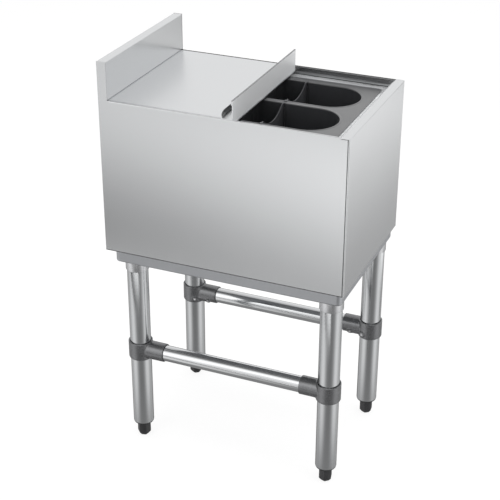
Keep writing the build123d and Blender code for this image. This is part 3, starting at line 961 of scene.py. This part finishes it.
@dataclass
class Legs:
    """Four leg tubes with their welded sockets, plugs and screw-in feet, drawn round the Z axis."""

    place_x: float = 126.5
    front_y: float = -206.0
    rear_y: float = 189.0
    radius: float = 20.65
    wall: float = 1.5
    bottom: float = 36.0
    top: float = 405.0
    rim_rounding: float = 0.3
    end_rounding: float = 0.5
    pan_height: float = 407.0
    fit: float = 0.15
    socket_bottom: float = 386.0
    socket_ceiling: float = 405.0
    socket_wall: float = 1.8
    screw_hole: float = 3.1
    bead_radius: float = 0.7
    bead_drop: float = 0.5
    bead_ripples: int = 60
    bead_steps: int = 4
    bead_swell: float = 1.014
    plug_bottom: float = 29.5
    plug_top: float = 68.0
    plug_mouth: float = 15.8
    plug_lip: float = 20.3
    plug_bore: float = 6.06
    foot_flats: float = 23.6
    foot_taper: float = 6.5
    foot_sole: float = 15.0
    foot_top: float = 29.3
    foot_rounding: float = 0.5
    stud_top: float = 65.3
    thread_crest: float = 5.95
    thread_root: float = 5.1
    thread_pitch: float = 1.75
    thread_flank: float = 0.38
    thread_flat: float = 0.12
    thread_sides: int = 24
    spare_turns: int = 3
    stud_sink: float = 0.5

    # How far each foot happens to be screwed round, in degrees, in the order of the corners
    foot_turns = (42.0, 15.0, 36.0, 36.0)

    def spot(self, end: End, side: Side) -> Point:
        """Where a leg's axis stands, in millimetres."""
        y = self.front_y if end is End.FRONT else self.rear_y
        return (side.value * self.place_x, y, 0.0)

    def tube(self) -> Thing:
        """Leg tube with both its rims broken by a file."""
        inner = self.radius - self.wall
        return turned("tube", [
            (inner, self.bottom, self.rim_rounding),
            (self.radius, self.bottom, self.end_rounding),
            (self.radius, self.top, self.rim_rounding),
            (inner, self.top, self.rim_rounding),
        ])

    @property
    def screw_level(self) -> float:
        """The height of the sockets' set screws."""
        return (self.socket_bottom + self.pan_height) / 2

    def socket(self) -> Thing:
        """Cup under the pan with its screw hole and the rippled weld that holds it."""
        inner = self.radius + self.fit
        outer = inner + self.socket_wall
        cup = turned("socket", [
            (inner, self.socket_ceiling),
            (inner, self.socket_bottom, 0.6),
            (outer, self.socket_bottom, 0.8),
            (outer, self.pan_height),
        ], closed=False)
        drill = bar("drill", self.radius, outer + 1, self.screw_hole)
        combine(cup, placed(drill, self.inboard(self.screw_level)))
        return join([cup, self.weld(outer)])

    @staticmethod
    def inboard(level: float) -> Matrix:
        """A line from the leg's axis towards the middle of the bin, at a height."""
        return facing((0, 0, level), ALONG_Y, ALONG_X)

    def weld(self, outer: float) -> Thing:
        """Bead of weld round the top of a socket, with the ripples of its pool.

        Args:
            outer: The socket's outer radius.

        Returns:
            The bead.
        """
        ring = {"major_radius": outer * MILLIMETRE, "minor_radius": self.bead_radius * MILLIMETRE}
        height = (self.pan_height - self.bead_drop) * MILLIMETRE
        count = self.bead_steps * self.bead_ripples
        place = (0, 0, height)
        bpy.ops.mesh.primitive_torus_add(major_segments=count, minor_segments=10, location=place, **ring)
        bead = added("weld")

        def on_ripple(point: Any) -> bool:
            """True for the half of each ripple that swells out."""
            turn = math.atan2(point.co.y, point.co.x) / (2 * math.pi) % 1.0
            return round(count * turn) % self.bead_steps < self.bead_steps / 2

        with editing(bead, Pick.POINTS):
            choose(bead, Pick.POINTS, on_ripple)
            widen_by(self.bead_swell, height)
            cut_off(self.pan_height, clear_outer=True)
        smooth(bead, angle=60)
        return bead

    def plug(self) -> Thing:
        """Plug with a bulging lip below the tube, a snug core and the bore for the stud."""
        core = self.radius - self.wall - self.fit
        return turned("plug", [
            (self.plug_bore, self.plug_bottom, 0.5),
            (self.plug_mouth, self.plug_bottom, 1.2),
            (self.plug_lip, self.plug_bottom + self.plug_lip - self.plug_mouth, 2.5),
            (self.plug_lip, self.bottom, 0.4),
            (core, self.bottom, 0.2),
            (core, self.plug_top, 0.8),
            (self.plug_bore, self.plug_top),
        ], steps=5)

    def thread(self) -> Thing:
        """Threaded stud: one tooth of the thread is wound up, and both its ends are cut square."""
        pitch = self.thread_pitch * MILLIMETRE
        depth = (self.thread_crest - self.thread_root) * MILLIMETRE
        turns = math.ceil((self.stud_top - self.foot_top) / self.thread_pitch) + self.spare_turns
        tooth = [(depth, self.thread_flank), (0, self.thread_flat)]
        tooth += [(-depth, self.thread_flank), (0, self.thread_flat)]
        bpy.ops.mesh.primitive_plane_add(size=MILLIMETRE)
        stud = added("thread")
        with editing(stud, Pick.POINTS):
            bpy.ops.mesh.merge(type="CENTER")
            start = (self.thread_root * MILLIMETRE, 0, (self.foot_top - 2 * self.thread_pitch) * MILLIMETRE)
            bpy.ops.transform.translate(value=start)
            for out, rise in tooth:
                step = {"value": (out, 0, rise * pitch)}
                bpy.ops.mesh.extrude_vertices_move(TRANSFORM_OT_translate=step)
        winding = {"iterations": turns, "screw_offset": pitch, "merge_threshold": MILLIMETRE**2}
        sides = {"steps": self.thread_sides, "render_steps": self.thread_sides}
        modify(stud, "SCREW", axis="Z", use_merge_vertices=True, **winding, **sides)
        tidy_shell(stud)
        with editing(stud):
            cut_off(self.foot_top - self.stud_sink, clear_inner=True)
            cut_off(self.stud_top, clear_outer=True)
        tidy_shell(stud)
        return stud

    def foot(self) -> Thing:
        """Six sided foot whose flats are drawn in to a smaller sole, on its stud."""
        corner = self.foot_flats / 2 / math.cos(math.pi / SIDES_OF_HEXAGON)
        body = bar("foot", self.foot_taper, self.foot_top, corner, SIDES_OF_HEXAGON)
        with editing(body):
            choose(body, Pick.FACES, lambda f: middle(f).z < self.foot_taper + NEAR)
            raise_by(-self.foot_taper)
            widen_by(self.foot_sole / self.foot_flats)
        soften(body, self.foot_rounding, angle=15)
        combine(body, self.thread(), Cut.ADD)
        smooth(body, angle=28)
        return body

    def build(self) -> None:
        """Models one leg and copies it to the four corners."""
        models = {
            "leg": (self.tube(), "tube_steel", LEG_TUBE),
            "leg_socket": (self.socket(), "socket_steel", WELDED_STEEL),
            "leg_plug": (self.plug(), "plug_plastic", FOOT_PLASTIC),
            "foot": (self.foot(), "foot_plastic", FOOT_PLASTIC),
        }
        for (corner, (end, side)), foot_turn in zip(CORNERS.items(), self.foot_turns):
            turns = {"leg_socket": 180.0 if side is Side.RIGHT else 0.0, "foot": foot_turn}
            for name, (model, slot, finish) in models.items():
                turn = Matrix.Rotation(math.radians(turns.get(name, 0.0)), 4, "Z")
                piece = placed(copied(model, name), shifted(*self.spot(end, side)) @ turn)
                body = f"foot_{corner}_body" if name == "foot" else "bin"
                hand_over(piece, f"{name}_{corner}", slot, finish, body)
        discard(*(model for model, _, _ in models.values()))


@dataclass
class Rails:
    """Two rail tubes between the front and rear tees, and the tees and their screws."""

    legs: Legs
    height: float = 206.0
    radius: float = 15.875
    wall: float = 1.5
    stop: float = 25.3
    rail_end_gap: float = 0.3
    core_radius: float = 4.0
    collar_radius: float = 24.0
    collar_half: float = 19.0
    collar_bevel: float = 2.6
    branch_radius: float = 18.25
    branch_length: float = 55.0
    boss_radius: float = 6.0
    boss_spread: float = 1.2
    boss_start: float = 5.0
    boss_rise: float = 2.4
    pad_width: float = 11.0
    pad_rise: float = 1.4
    pad_overlap: float = 3.0
    collar_turn: float = 24.0
    collar_drop: float = 8.0
    branch_reach: float = 38.0
    branch_tilt: float = 29.0
    screw_radius: float = 3.0
    screw_core: float = 1.4
    screw_stand: float = 0.4
    screw_point: float = 0.7
    screw_taper: float = 0.8
    screw_rounding: float = 0.45
    lock_length: float = 5.0
    key_radius: float = 1.85
    key_depth: float = 1.8
    mouth_gap: float = 0.9
    mouth_depth: float = 2.6
    mouth_slope: float = 0.6
    casting_step: float = 0.62

    # Where a screw hole widens: by how much more than the screw, and how far above its boss
    sink_steps = ((0.1, -0.9), (0.9, -0.3), (1.2, 1.0))

    @property
    def along(self) -> Matrix:
        """Lays a piece that is drawn up the Z axis along a rail."""
        return facing((0, 0, self.height), ALONG_X, ALONG_Y)

    @property
    def collar_ends(self) -> tuple[float, float]:
        """The heights of a tee's lower and upper end."""
        return self.height - self.collar_half, self.height + self.collar_half

    def rail(self, side: Side) -> Thing:
        """Rail tube of one side."""
        start = self.legs.front_y + self.stop
        end = self.legs.rear_y - self.stop
        inner = self.radius - self.wall
        tube = turned("rail", [
            (inner, start, 0.3),
            (self.radius, start, 0.4),
            (self.radius, end, 0.4),
            (inner, end, 0.3),
        ])
        return placed(tube, shifted(side.value * self.legs.place_x, 0, 0) @ self.along)

    def screw_lines(self) -> list[tuple[Matrix, float, float]]:
        """For each of a tee's two screws its line, the tube's radius and the boss's height on it."""
        turn, tilt = math.radians(self.collar_turn), math.radians(self.branch_tilt)
        outward = (math.cos(turn), math.sin(turn), 0)
        collar = facing((0, 0, self.height - self.collar_drop), (-outward[1], outward[0], 0), outward)
        inward = (math.cos(tilt), 0, -math.sin(tilt))
        branch = facing((0, self.branch_reach, self.height), ALONG_Y, inward)
        return [
            (collar, self.legs.radius, self.collar_radius + self.boss_rise),
            (branch, self.radius, self.branch_radius + self.boss_rise),
        ]

    def casting(self) -> Thing:
        """The cast body of a tee: its forms run into each other with the soft corners of sand."""
        low, high = self.collar_ends
        collar = turned("tee", [
            (self.core_radius, low),
            (self.collar_radius - self.collar_bevel, low, 1.0),
            (self.collar_radius, low + self.collar_bevel, 1.5),
            (self.collar_radius, high, 0.5),
            (self.core_radius, high),
        ], closed=False)
        branch = turned("branch", [
            (self.core_radius, 0.0),
            (self.branch_radius, 0.0),
            (self.branch_radius, self.branch_length, 0.6),
            (self.core_radius, self.branch_length),
        ], closed=False)
        forms = [collar, placed(branch, self.along)]
        lines = self.screw_lines()
        for line, _, face in lines:
            boss = turned("boss", [
                (1.0, self.boss_start),
                (self.boss_radius + self.boss_spread, self.boss_start),
                (self.boss_radius, face, 0.5),
                (1.0, face),
            ], closed=False, sides=SIDES_OF_SMALL_ROUND)
            forms.append(placed(boss, line))
        half = self.pad_width / 2
        reach = (self.pad_overlap - self.branch_reach, self.pad_overlap)
        pad = slab("pad", reach, (-half, half), (self.core_radius, self.branch_radius + self.pad_rise))
        forms.append(placed(pad, lines[1][0]))
        tee = join(forms)
        modify(tee, "REMESH", mode="VOXEL", voxel_size=self.casting_step * MILLIMETRE)
        modify(tee, "SMOOTH", factor=0.5, iterations=7)
        return tee

    def bored(self, tee: Thing) -> Thing:
        """Bores a casting for its leg, its rail and its screws, each bore a little wider at its mouth.

        Args:
            tee: The casting.

        Returns:
            The same piece.
        """
        leg_bore, rail_bore = self.legs.radius + self.legs.fit, self.radius + self.legs.fit
        low, high = self.collar_ends
        leg_drill = turned("drill", [
            (leg_bore + self.mouth_gap, low - 1.0),
            (leg_bore + self.mouth_gap, low + 1.0),
            (leg_bore, low + 1.0 + self.mouth_slope),
            *self.mouth(leg_bore, high),
        ], closed=False)
        rail_drill = turned("drill", [
            (rail_bore, self.stop - self.rail_end_gap),
            *self.mouth(rail_bore, self.branch_length),
        ], closed=False)
        combine(tee, leg_drill)
        combine(tee, placed(rail_drill, self.along))
        for line, tube_radius, face in self.screw_lines():
            sink = [(self.screw_radius + gap, face + rise) for gap, rise in self.sink_steps]
            corners = [(sink[0][0], tube_radius - 1.0), *sink]
            drill = turned("drill", corners, closed=False, sides=SIDES_OF_SMALL_ROUND)
            combine(tee, placed(drill, line))
        smooth(tee, angle=38)
        return tee

    def mouth(self, bore: float, end: float) -> list[Corner]:
        """The corners of a drill at the mouth of a bore.

        Args:
            bore: The bore's radius.
            end: Where the casting ends along the bore.

        Returns:
            The corners.
        """
        start, wide = end - self.mouth_depth, bore + self.mouth_gap
        return [(bore, start), (wide, start + self.mouth_slope), (wide, end + 1.0)]

    def screw(self, start: float, end: float) -> Thing:
        """Set screw with a rounded cup end, a broken rim and a six sided key hole.

        Args:
            start: Where its inner end lies on its line.
            end: Where its outer end lies.

        Returns:
            The screw, along Z.
        """
        body = turned("screw", [
            (self.screw_core, start),
            (self.screw_radius - self.screw_point, start),
            (self.screw_radius, start + self.screw_taper),
            (self.screw_radius, end, self.screw_rounding),
            (self.screw_core, end),
        ], closed=False, steps=4, sides=SIDES_OF_SMALL_ROUND)
        combine(body, bar("key", end - self.key_depth, end + 1, self.key_radius, SIDES_OF_HEXAGON))
        smooth(body, angle=30)
        return body

    def corner_matrix(self, end: End, side: Side) -> Matrix:
        """Carries what is drawn at the front left leg to another leg, mirrored."""
        flip = Matrix.Diagonal((-side.value, -end.value, 1, 1))
        return shifted(*self.legs.spot(end, side)) @ flip

    def build(self) -> None:
        """Models the rails, one tee and its screws, and copies these to the four legs."""
        for side in Side:
            hand_over(self.rail(side), f"rail_{side.word}", "tube_steel", RAIL_TUBE)
        tee = self.bored(self.casting())
        fit = self.legs.fit
        clamps = [
            placed(self.screw(tube + fit, face + self.screw_stand), line)
            for line, tube, face in self.screw_lines()
        ]
        start = self.legs.radius + fit / 2
        lock = placed(self.screw(start, start + self.lock_length), self.legs.inboard(self.legs.screw_level))
        clamp_copies, lock_copies = [], []
        for corner, (end, side) in CORNERS.items():
            matrix = self.corner_matrix(end, side)
            hand_over(placed(copied(tee, "tee"), matrix), f"tee_{corner}", "tee_metal", TEE_COAT)
            clamp_copies += [placed(copied(clamp, "clamp"), matrix) for clamp in clamps]
            lock_copies.append(placed(copied(lock, "lock"), matrix))
        hand_over(join(clamp_copies), "tee_set_screws", "screw_steel", SCREW_METAL)
        hand_over(join(lock_copies), "socket_set_screws", "screw_steel", SCREW_METAL)
        discard(tee, lock, *clamps)


@dataclass
class BottleWells:
    """The drop in tray with two round fronted wells, and the divider that hooks into each."""

    half_x: float = 133.0
    front_y: float = -203.0
    rear_y: float = 8.0
    corner_radius: float = 5.5
    corner_steps: int = 6
    top: float = 717.2
    sheet: float = 1.7
    brink: float = 0.4
    centre_x: float = 60.0
    half_well: float = 53.0
    well_front: float = -182.5
    well_front_steps: int = 24
    well_rear: float = -3.0
    well_rear_radius: float = 12.0
    well_rear_steps: int = 8
    floor: float = 527.2
    floor_radius: float = 8.0
    floor_steps: int = 6
    margin: float = 6.0
    divider_y: float = -60.0
    divider_sheet: float = 1.6
    divider_half: float = 52.5
    divider_floor: float = 534.2
    divider_top: float = 718.3
    divider_steps: int = 8
    divider_rounding: float = 0.45
    saddle_half: float = 45.5
    saddle_dip: float = 15.0
    saddle_reach: float = 3.0
    hook_width: float = 6.0
    hook_reach: float = 5.4
    hook_sheet: float = 1.1
    hook_gap: float = 0.35
    hook_rounding: float = 0.25
    rib_width: float = 1.6
    rib_height: float = 2.0
    rib_root: float = 0.5
    rib_gap: float = 0.5
    rib_top_gap: float = 8.0
    rib_rounding: float = 0.4

    # Each step of the lip: how far in, and how far up
    lip_steps = (
        (1.0, 0.0), (0.7, 0.14), (0.8, 0.22), (0.8, 0.12), (1.0, 0.02),
        (0.7, -0.12), (0.5, -0.32), (0.3, -0.6), (0.2, -1.1),
    )

    def round_corners(self, sheet: Thing, radius: float, steps: int, rear: bool) -> None:
        """Rounds the two front or the two rear corners of a flat rectangle.

        Args:
            sheet: The rectangle.
            radius: The corners' radius in millimetres.
            steps: How many lines each corner gets.
            rear: Whether the rear corners are meant.
        """
        ends = [point.co.y for point in sheet.data.vertices]
        edge = max(ends) if rear else min(ends)
        with editing(sheet, Pick.POINTS):
            choose(sheet, Pick.POINTS, lambda p: near(p.co.y, edge))
            size = {"offset": radius * MILLIMETRE, "segments": steps}
            bpy.ops.mesh.bevel(affect="VERTICES", clamp_overlap=False, **size)
            bpy.ops.mesh.select_all(action="SELECT")
            merge_doubles(NEAR / 10)

    def well(self, side: Side) -> Thing:
        """One well: its plan is drawn in and down step by step, over the lip to the round floor edge.

        Args:
            side: The side of the bin.

        Returns:
            The well's inner face, open at the top.
        """
        centre = side.value * self.centre_x
        half = self.half_well + self.margin
        span = (self.well_front - self.margin, self.well_rear + self.margin)
        bowl = plate("well", (centre - half, centre + half), span, self.top)
        self.round_corners(bowl, half, self.well_front_steps, rear=False)
        self.round_corners(bowl, self.well_rear_radius + self.margin, self.well_rear_steps, rear=True)
        lip_rise = sum(rise for _, rise in self.lip_steps)
        turns = [math.radians(90 / self.floor_steps * step) for step in range(self.floor_steps + 1)]
        with editing(bowl):
            for inward, rise in self.lip_steps:
                self.draw_in(inward, rise)
            raise_by(-(self.top + lip_rise - self.floor - self.floor_radius))
            for before, after in zip(turns, turns[1:]):
                inward = self.floor_radius * (math.cos(before) - math.cos(after))
                rise = self.floor_radius * (math.sin(before) - math.sin(after))
                self.draw_in(inward, rise)
        return bowl

    @staticmethod
    def draw_in(inward: float, rise: float) -> None:
        """Insets the selected face by some millimetres and lifts it by others."""
        size = {"thickness": inward * MILLIMETRE, "depth": rise * MILLIMETRE}
        bpy.ops.mesh.inset(use_even_offset=True, **size)

    def on_brink(self, line: Any) -> bool:
        """True for an open line of the tray that its flange has still to reach."""
        if not line.is_boundary or not near(line.verts[0].co.z, self.top * MILLIMETRE):
            return False
        place, inset = middle(line), self.brink - NEAR
        inside_y = self.front_y + inset < place.y < self.rear_y - inset
        return abs(place.x) < self.half_x - inset and inside_y

    def tray(self) -> Thing:
        """The tray: a flange with rounded corners, filled in round both wells, and given its wall."""
        rim = plate("tray", (-self.half_x, self.half_x), (self.front_y, self.rear_y), self.top)
        for rear in (False, True):
            self.round_corners(rim, self.corner_radius, self.corner_steps, rear)
        with editing(rim):
            bpy.ops.mesh.inset(thickness=self.brink * MILLIMETRE, use_even_offset=True)
            bpy.ops.mesh.delete(type="FACE")
        tray = join([rim] + [self.well(side) for side in Side])
        with editing(tray, Pick.LINES):
            choose(tray, Pick.LINES, self.on_brink)
            bpy.ops.mesh.fill(use_beauty=True)
        tidy_shell(tray)
        with editing(tray):
            choose(tray, Pick.FACES, lambda f: middle(f).z > self.top - 2 * NEAR)
            flange_up = bmesh.from_edit_mesh(tray.data).faces
            if sum(f.normal.z * f.calc_area() for f in flange_up if f.select) < 0:
                bpy.ops.mesh.select_all(action="SELECT")
                bpy.ops.mesh.flip_normals()
        wall = {"thickness": self.sheet * MILLIMETRE, "offset": -1.0}
        modify(tray, "SOLIDIFY", use_even_offset=True, **wall)
        for side in Side:
            for rib in self.ribs(side):
                combine(tray, rib, Cut.ADD)
        smooth(tray, angle=35)
        modify(tray, "WEIGHTED_NORMAL", keep_sharp=True, weight=80)
        return tray

    def ribs(self, side: Side) -> list[Thing]:
        """The upright ribs that guide a divider on both walls of one well.

        Args:
            side: The side of the bin.

        Returns:
            The four ribs.
        """
        half = self.rib_width / 2
        spacing = self.divider_sheet / 2 + self.rib_gap + half
        z = (self.floor + self.floor_radius, self.top - self.rib_top_gap)
        ribs = []
        for wall in (-1, 1):
            face = side.value * self.centre_x + wall * self.half_well
            x = sorted((face + wall * self.rib_root, face - wall * self.rib_height))
            for place in (-1, 1):
                y = self.divider_y + place * spacing
                rib = slab("rib", x, (y - half, y + half), z)
                soften(rib, self.rib_rounding)
                ribs.append(rib)
        return ribs

    def on_lower_corner(self, line: Any) -> bool:
        """True for a line through a divider's sheet at one of its lower corners."""
        start, end = (point.co for point in line.verts)
        low = self.divider_floor * MILLIMETRE
        return near(start.z, low) and near(end.z, low) and near(start.x, end.x)

    def divider(self, side: Side) -> Thing:
        """Divider: a plate with round lower corners, dipped like a saddle, hooked over both lips.

        Args:
            side: The side of the bin.

        Returns:
            The divider.
        """
        half, top, thick = self.divider_half, self.divider_top, self.divider_sheet / 2
        sheet = slab("divider", (-half, half), (-thick, thick), (self.divider_floor, top))
        with editing(sheet, Pick.LINES):
            choose(sheet, Pick.LINES, self.on_lower_corner)
            size = {"offset": self.floor_radius * MILLIMETRE, "segments": self.divider_steps}
            bpy.ops.mesh.bevel(affect="EDGES", **size)
        bottom = self.top - self.saddle_dip
        dip = top - bottom
        radius = (self.saddle_half**2 + dip**2) / (2 * dip)
        saddle = bar("saddle", -self.saddle_reach, self.saddle_reach, radius, 2 * SIDES_OF_ROUND)
        combine(sheet, placed(saddle, facing((0, 0, bottom + radius), ALONG_X, ALONG_Y)))
        soften(sheet, self.divider_rounding, steps=3)
        across = (-self.hook_width / 2, self.hook_width / 2)
        for wall in (-1, 1):
            x = sorted((wall * (half - self.hook_sheet), wall * (self.half_well + self.hook_reach)))
            hook = slab("hook", x, across, (self.top + self.hook_gap, top))
            soften(hook, self.hook_rounding)
            combine(sheet, hook, Cut.ADD)
        smooth(sheet)
        return placed(sheet, shifted(side.value * self.centre_x, self.divider_y, 0))

    def build(self) -> None:
        """Models the tray and both dividers."""
        hand_over(self.tray(), "bottle_well_insert", "insert_plastic", WELL_PLASTIC)
        for side in Side:
            hand_over(self.divider(side), f"well_divider_{side.word}", "divider_plastic", DIVIDER_PLASTIC)


@dataclass(frozen=True)
class Card:
    """A card on the floor that only reflections see, shaded along X and Y."""

    name: str
    # Its two edges across the bin and its two edges along it, in millimetres
    x: tuple[float, float]
    y: tuple[float, float]
    # The brightness and the cover, each as a slope over X, a slope over Y and what is added, in metres
    brightness: Point
    cover: Point
    height: float = 1.0
    darkest: float = 0.05
    brightest: float = 1.6

    def shader(self, mixer: Mixer) -> Value:
        """A glow that fades into nothing where the card's cover ends."""
        grey = self.sloped(mixer, self.brightness).within(self.darkest, self.brightest)
        cover = self.sloped(mixer, self.cover).within(0.0, 1.0)
        clear = mixer.add("ShaderNodeBsdfTransparent", {}, {}, "BSDF")
        glow = mixer.add("ShaderNodeEmission", {}, {"Color": grey}, "Emission")
        return mixer.add("ShaderNodeMixShader", {}, {0: cover, 1: clear, 2: glow})

    def build(self) -> None:
        """Lays the card down."""
        card = plate(self.name, self.x, self.y, self.height)
        card.data.materials.append(filled_material(self.name, self.shader))
        for rays in ("camera", "diffuse", "transmission", "shadow"):
            setattr(card, f"visible_{rays}", False)
        card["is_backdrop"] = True

    @staticmethod
    def sloped(mixer: Mixer, slopes: Point) -> Value:
        """A value that changes evenly along X and Y.

        Args:
            mixer: Adds the nodes.
            slopes: Its slope over X, its slope over Y and what is added.

        Returns:
            The value.
        """
        place = mixer.place()
        x, y = (mixer.axis(place, name) for name in "XY")
        return x * slopes[0] + y * slopes[1] + slopes[2]


@dataclass
class Studio:
    """Pale floor, soft lamps, the surroundings that metal mirrors, and the camera."""

    yaw: float = -67.31
    pitch: float = 27.45
    roll: float = 0.19
    distance: float = 2.4547
    target: Point = (-0.01726, 0.00062, 0.4099)
    lens: float = 91.4
    farthest: float = 50.0
    floor_half: float = 6000.0
    floor_grey: float = 0.9
    floor_white: float = 1.1
    floor_shown: float = 0.8
    sky_fill: float = 0.55

    # Shades that upright metal mirrors from the room, from straight ahead round to the camera's side
    ring_stops = (
        (0.0, 0.14), (0.07, 0.3), (0.15, 0.55), (0.38, 0.56), (0.52, 0.86),
        (0.72, 0.98), (0.84, 0.7), (0.93, 0.36), (0.98, 0.25), (1.0, 0.23),
    )
    # Half the brightness of the room above, from the user's left across to the right
    dome_stops = (
        (0.04, 0.48), (0.095, 0.8), (0.19, 0.7), (0.27, 0.35), (0.35, 0.11),
        (0.475, 0.11), (0.55, 0.2), (0.665, 0.33), (0.9, 0.48), (1.0, 0.48),
    )
    # Shade straight below, where the floor lies in the bin's own shadow
    below: float = 0.28
    # How fast the shade below and the room above set in with height, and what is added
    below_slope = (-8.0, -5.0)
    above_slope = (6.0, 0.5)
    # Each lamp's name, place, side in metres and power in watts
    lamps = (
        ("overhead_panel", (0.1, -0.2, 2.6), 2.4, 34.0),
        ("left_panel", (-2.4, 0.9, 1.9), 1.6, 14.0),
        ("front_panel_lamp", (-0.4, -2.6, 1.6), 1.6, 12.0),
    )
    cards = (
        Card("side_card", (-1900, -720), (-500, 1700), (-1.95, -0.7, -1.42), (-25.0, 0.0, -20.5)),
        Card("front_card", (350, 2200), (-2200, -420), (0.15, -1.6, -0.645), (0.0, -33.0, -16.5)),
    )

    def build(self) -> None:
        """Builds the whole studio."""
        self.sky()
        self.floor()
        for lamp in self.lamps:
            self.lamp(*lamp)
        for card in self.cards:
            card.build()
        self.camera()

    def ahead(self) -> Vector:
        """The direction in which the photograph looks."""
        yaw, pitch = math.radians(self.yaw), math.radians(self.pitch)
        level = math.cos(pitch)
        return Vector((-math.sin(yaw) * level, math.cos(yaw) * level, -math.sin(pitch)))

    def sky(self) -> None:
        """White where it is seen, a shaded room where metal mirrors it, and an even light for the rest."""
        world = bpy.data.worlds.new("studio_sky")
        world.use_nodes = True
        bpy.context.scene.world = world
        mixer = Mixer(world.node_tree)
        camera, mirrored, through = (ray(mixer, kind) for kind in ("Camera", "Glossy", "Transmission"))
        plain = camera + through
        strength = plain + mirrored * self.room(mixer) + (1 - plain - mirrored) * self.sky_fill
        inputs = {"Color": rgba(1.0), "Strength": strength}
        light = mixer.add("ShaderNodeBackground", {}, inputs, "Background")
        mixer.show("ShaderNodeOutputWorld", light)

    def room(self, mixer: Mixer) -> Value:
        """How bright the room is in each direction.

        Args:
            mixer: Adds the nodes.

        Returns:
            The brightness.
        """
        way = mixer.add("ShaderNodeTexCoord", {}, {}, "Generated")
        x, y, z = (mixer.axis(way, name) for name in "XYZ")
        back = -self.ahead().xy.normalized()
        level = (1 - z * z).at_least(0.0001) ** 0.5
        round_about = (x * back.x + y * back.y) / level * 0.5 + 0.5
        ring = mixer.ramp(round_about, self.ring_stops)
        steep, above = (
            (z * slope + start).within(0.0, 1.0) for slope, start in (self.below_slope, self.above_slope)
        )
        ring = ring * (1 - steep) + steep * self.below
        dome = mixer.ramp(x * 0.5 + 0.5, self.dome_stops) * 2.0
        return ring * (1 - above) + dome * above

    def floor_shader(self, mixer: Mixer) -> Value:
        """A lit floor, most of which is shown as plain white."""
        lit = mixer.add("ShaderNodeBsdfDiffuse", {}, {"Color": rgba(self.floor_grey)}, "BSDF")
        glow = {"Color": rgba(1.0), "Strength": self.floor_white}
        white = mixer.add("ShaderNodeEmission", {}, glow, "Emission")
        shown = (ray(mixer, "Camera") + ray(mixer, "Transmission")) * self.floor_shown
        return mixer.add("ShaderNodeMixShader", {}, {0: shown, 1: lit, 2: white})

    def floor(self) -> None:
        """Floor that shows white, with the object's soft shadow on it."""
        edges = (-self.floor_half, self.floor_half)
        floor = plate("studio_floor", edges, edges, 0.0)
        floor.data.materials.append(filled_material("studio_floor", self.floor_shader))
        floor.visible_glossy = False
        floor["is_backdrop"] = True

    def lamp(self, name: str, place: Point, size: float, power: float) -> None:
        """Adds one soft square lamp that faces the bin.

        Args:
            name: The lamp's name.
            place: Where it hangs.
            size: The length of its side.
            power: Its power in watts.
        """
        lamp = bpy.data.lights.new(name, "AREA")
        lamp.size = size
        lamp.energy = power
        holder = bpy.data.objects.new(name, lamp)
        bpy.context.scene.collection.objects.link(holder)
        holder.location = place
        aim = Vector(self.target) - Vector(place)
        holder.rotation_euler = aim.to_track_quat("-Z", "Y").to_euler()
        holder.visible_glossy = False

    def camera(self) -> None:
        """The photograph's viewing angle."""
        ahead = self.ahead()
        data = bpy.data.cameras.new("camera")
        data.lens = self.lens
        data.clip_end = self.farthest
        camera = bpy.data.objects.new("camera", data)
        bpy.context.scene.collection.objects.link(camera)
        camera.location = Vector(self.target) - self.distance * ahead
        turn = ahead.to_track_quat("-Z", "Y").to_matrix()
        camera.rotation_euler = (turn @ Matrix.Rotation(math.radians(self.roll), 3, "Z")).to_euler()
        bpy.context.scene.camera = camera


def ray(mixer: Mixer, kind: str) -> Value:
    """1 for rays of one kind, and 0 for the rest."""
    return mixer.add("ShaderNodeLightPath", {}, {}, f"Is {kind} Ray")


def main() -> None:
    """Builds the object, then the studio round it."""
    logging.basicConfig(level=logging.INFO)
    bpy.context.scene.view_settings.view_transform = "Standard"
    dress_sheets()
    legs = Legs()
    for assembly in (legs, Rails(legs), BottleWells(), Studio()):
        assembly.build()
        log.info("built %s", type(assembly).__name__)
    [[list(corner) for corner in box] for box in (cad_box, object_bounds())]


if __name__ == "__main__":
    main()
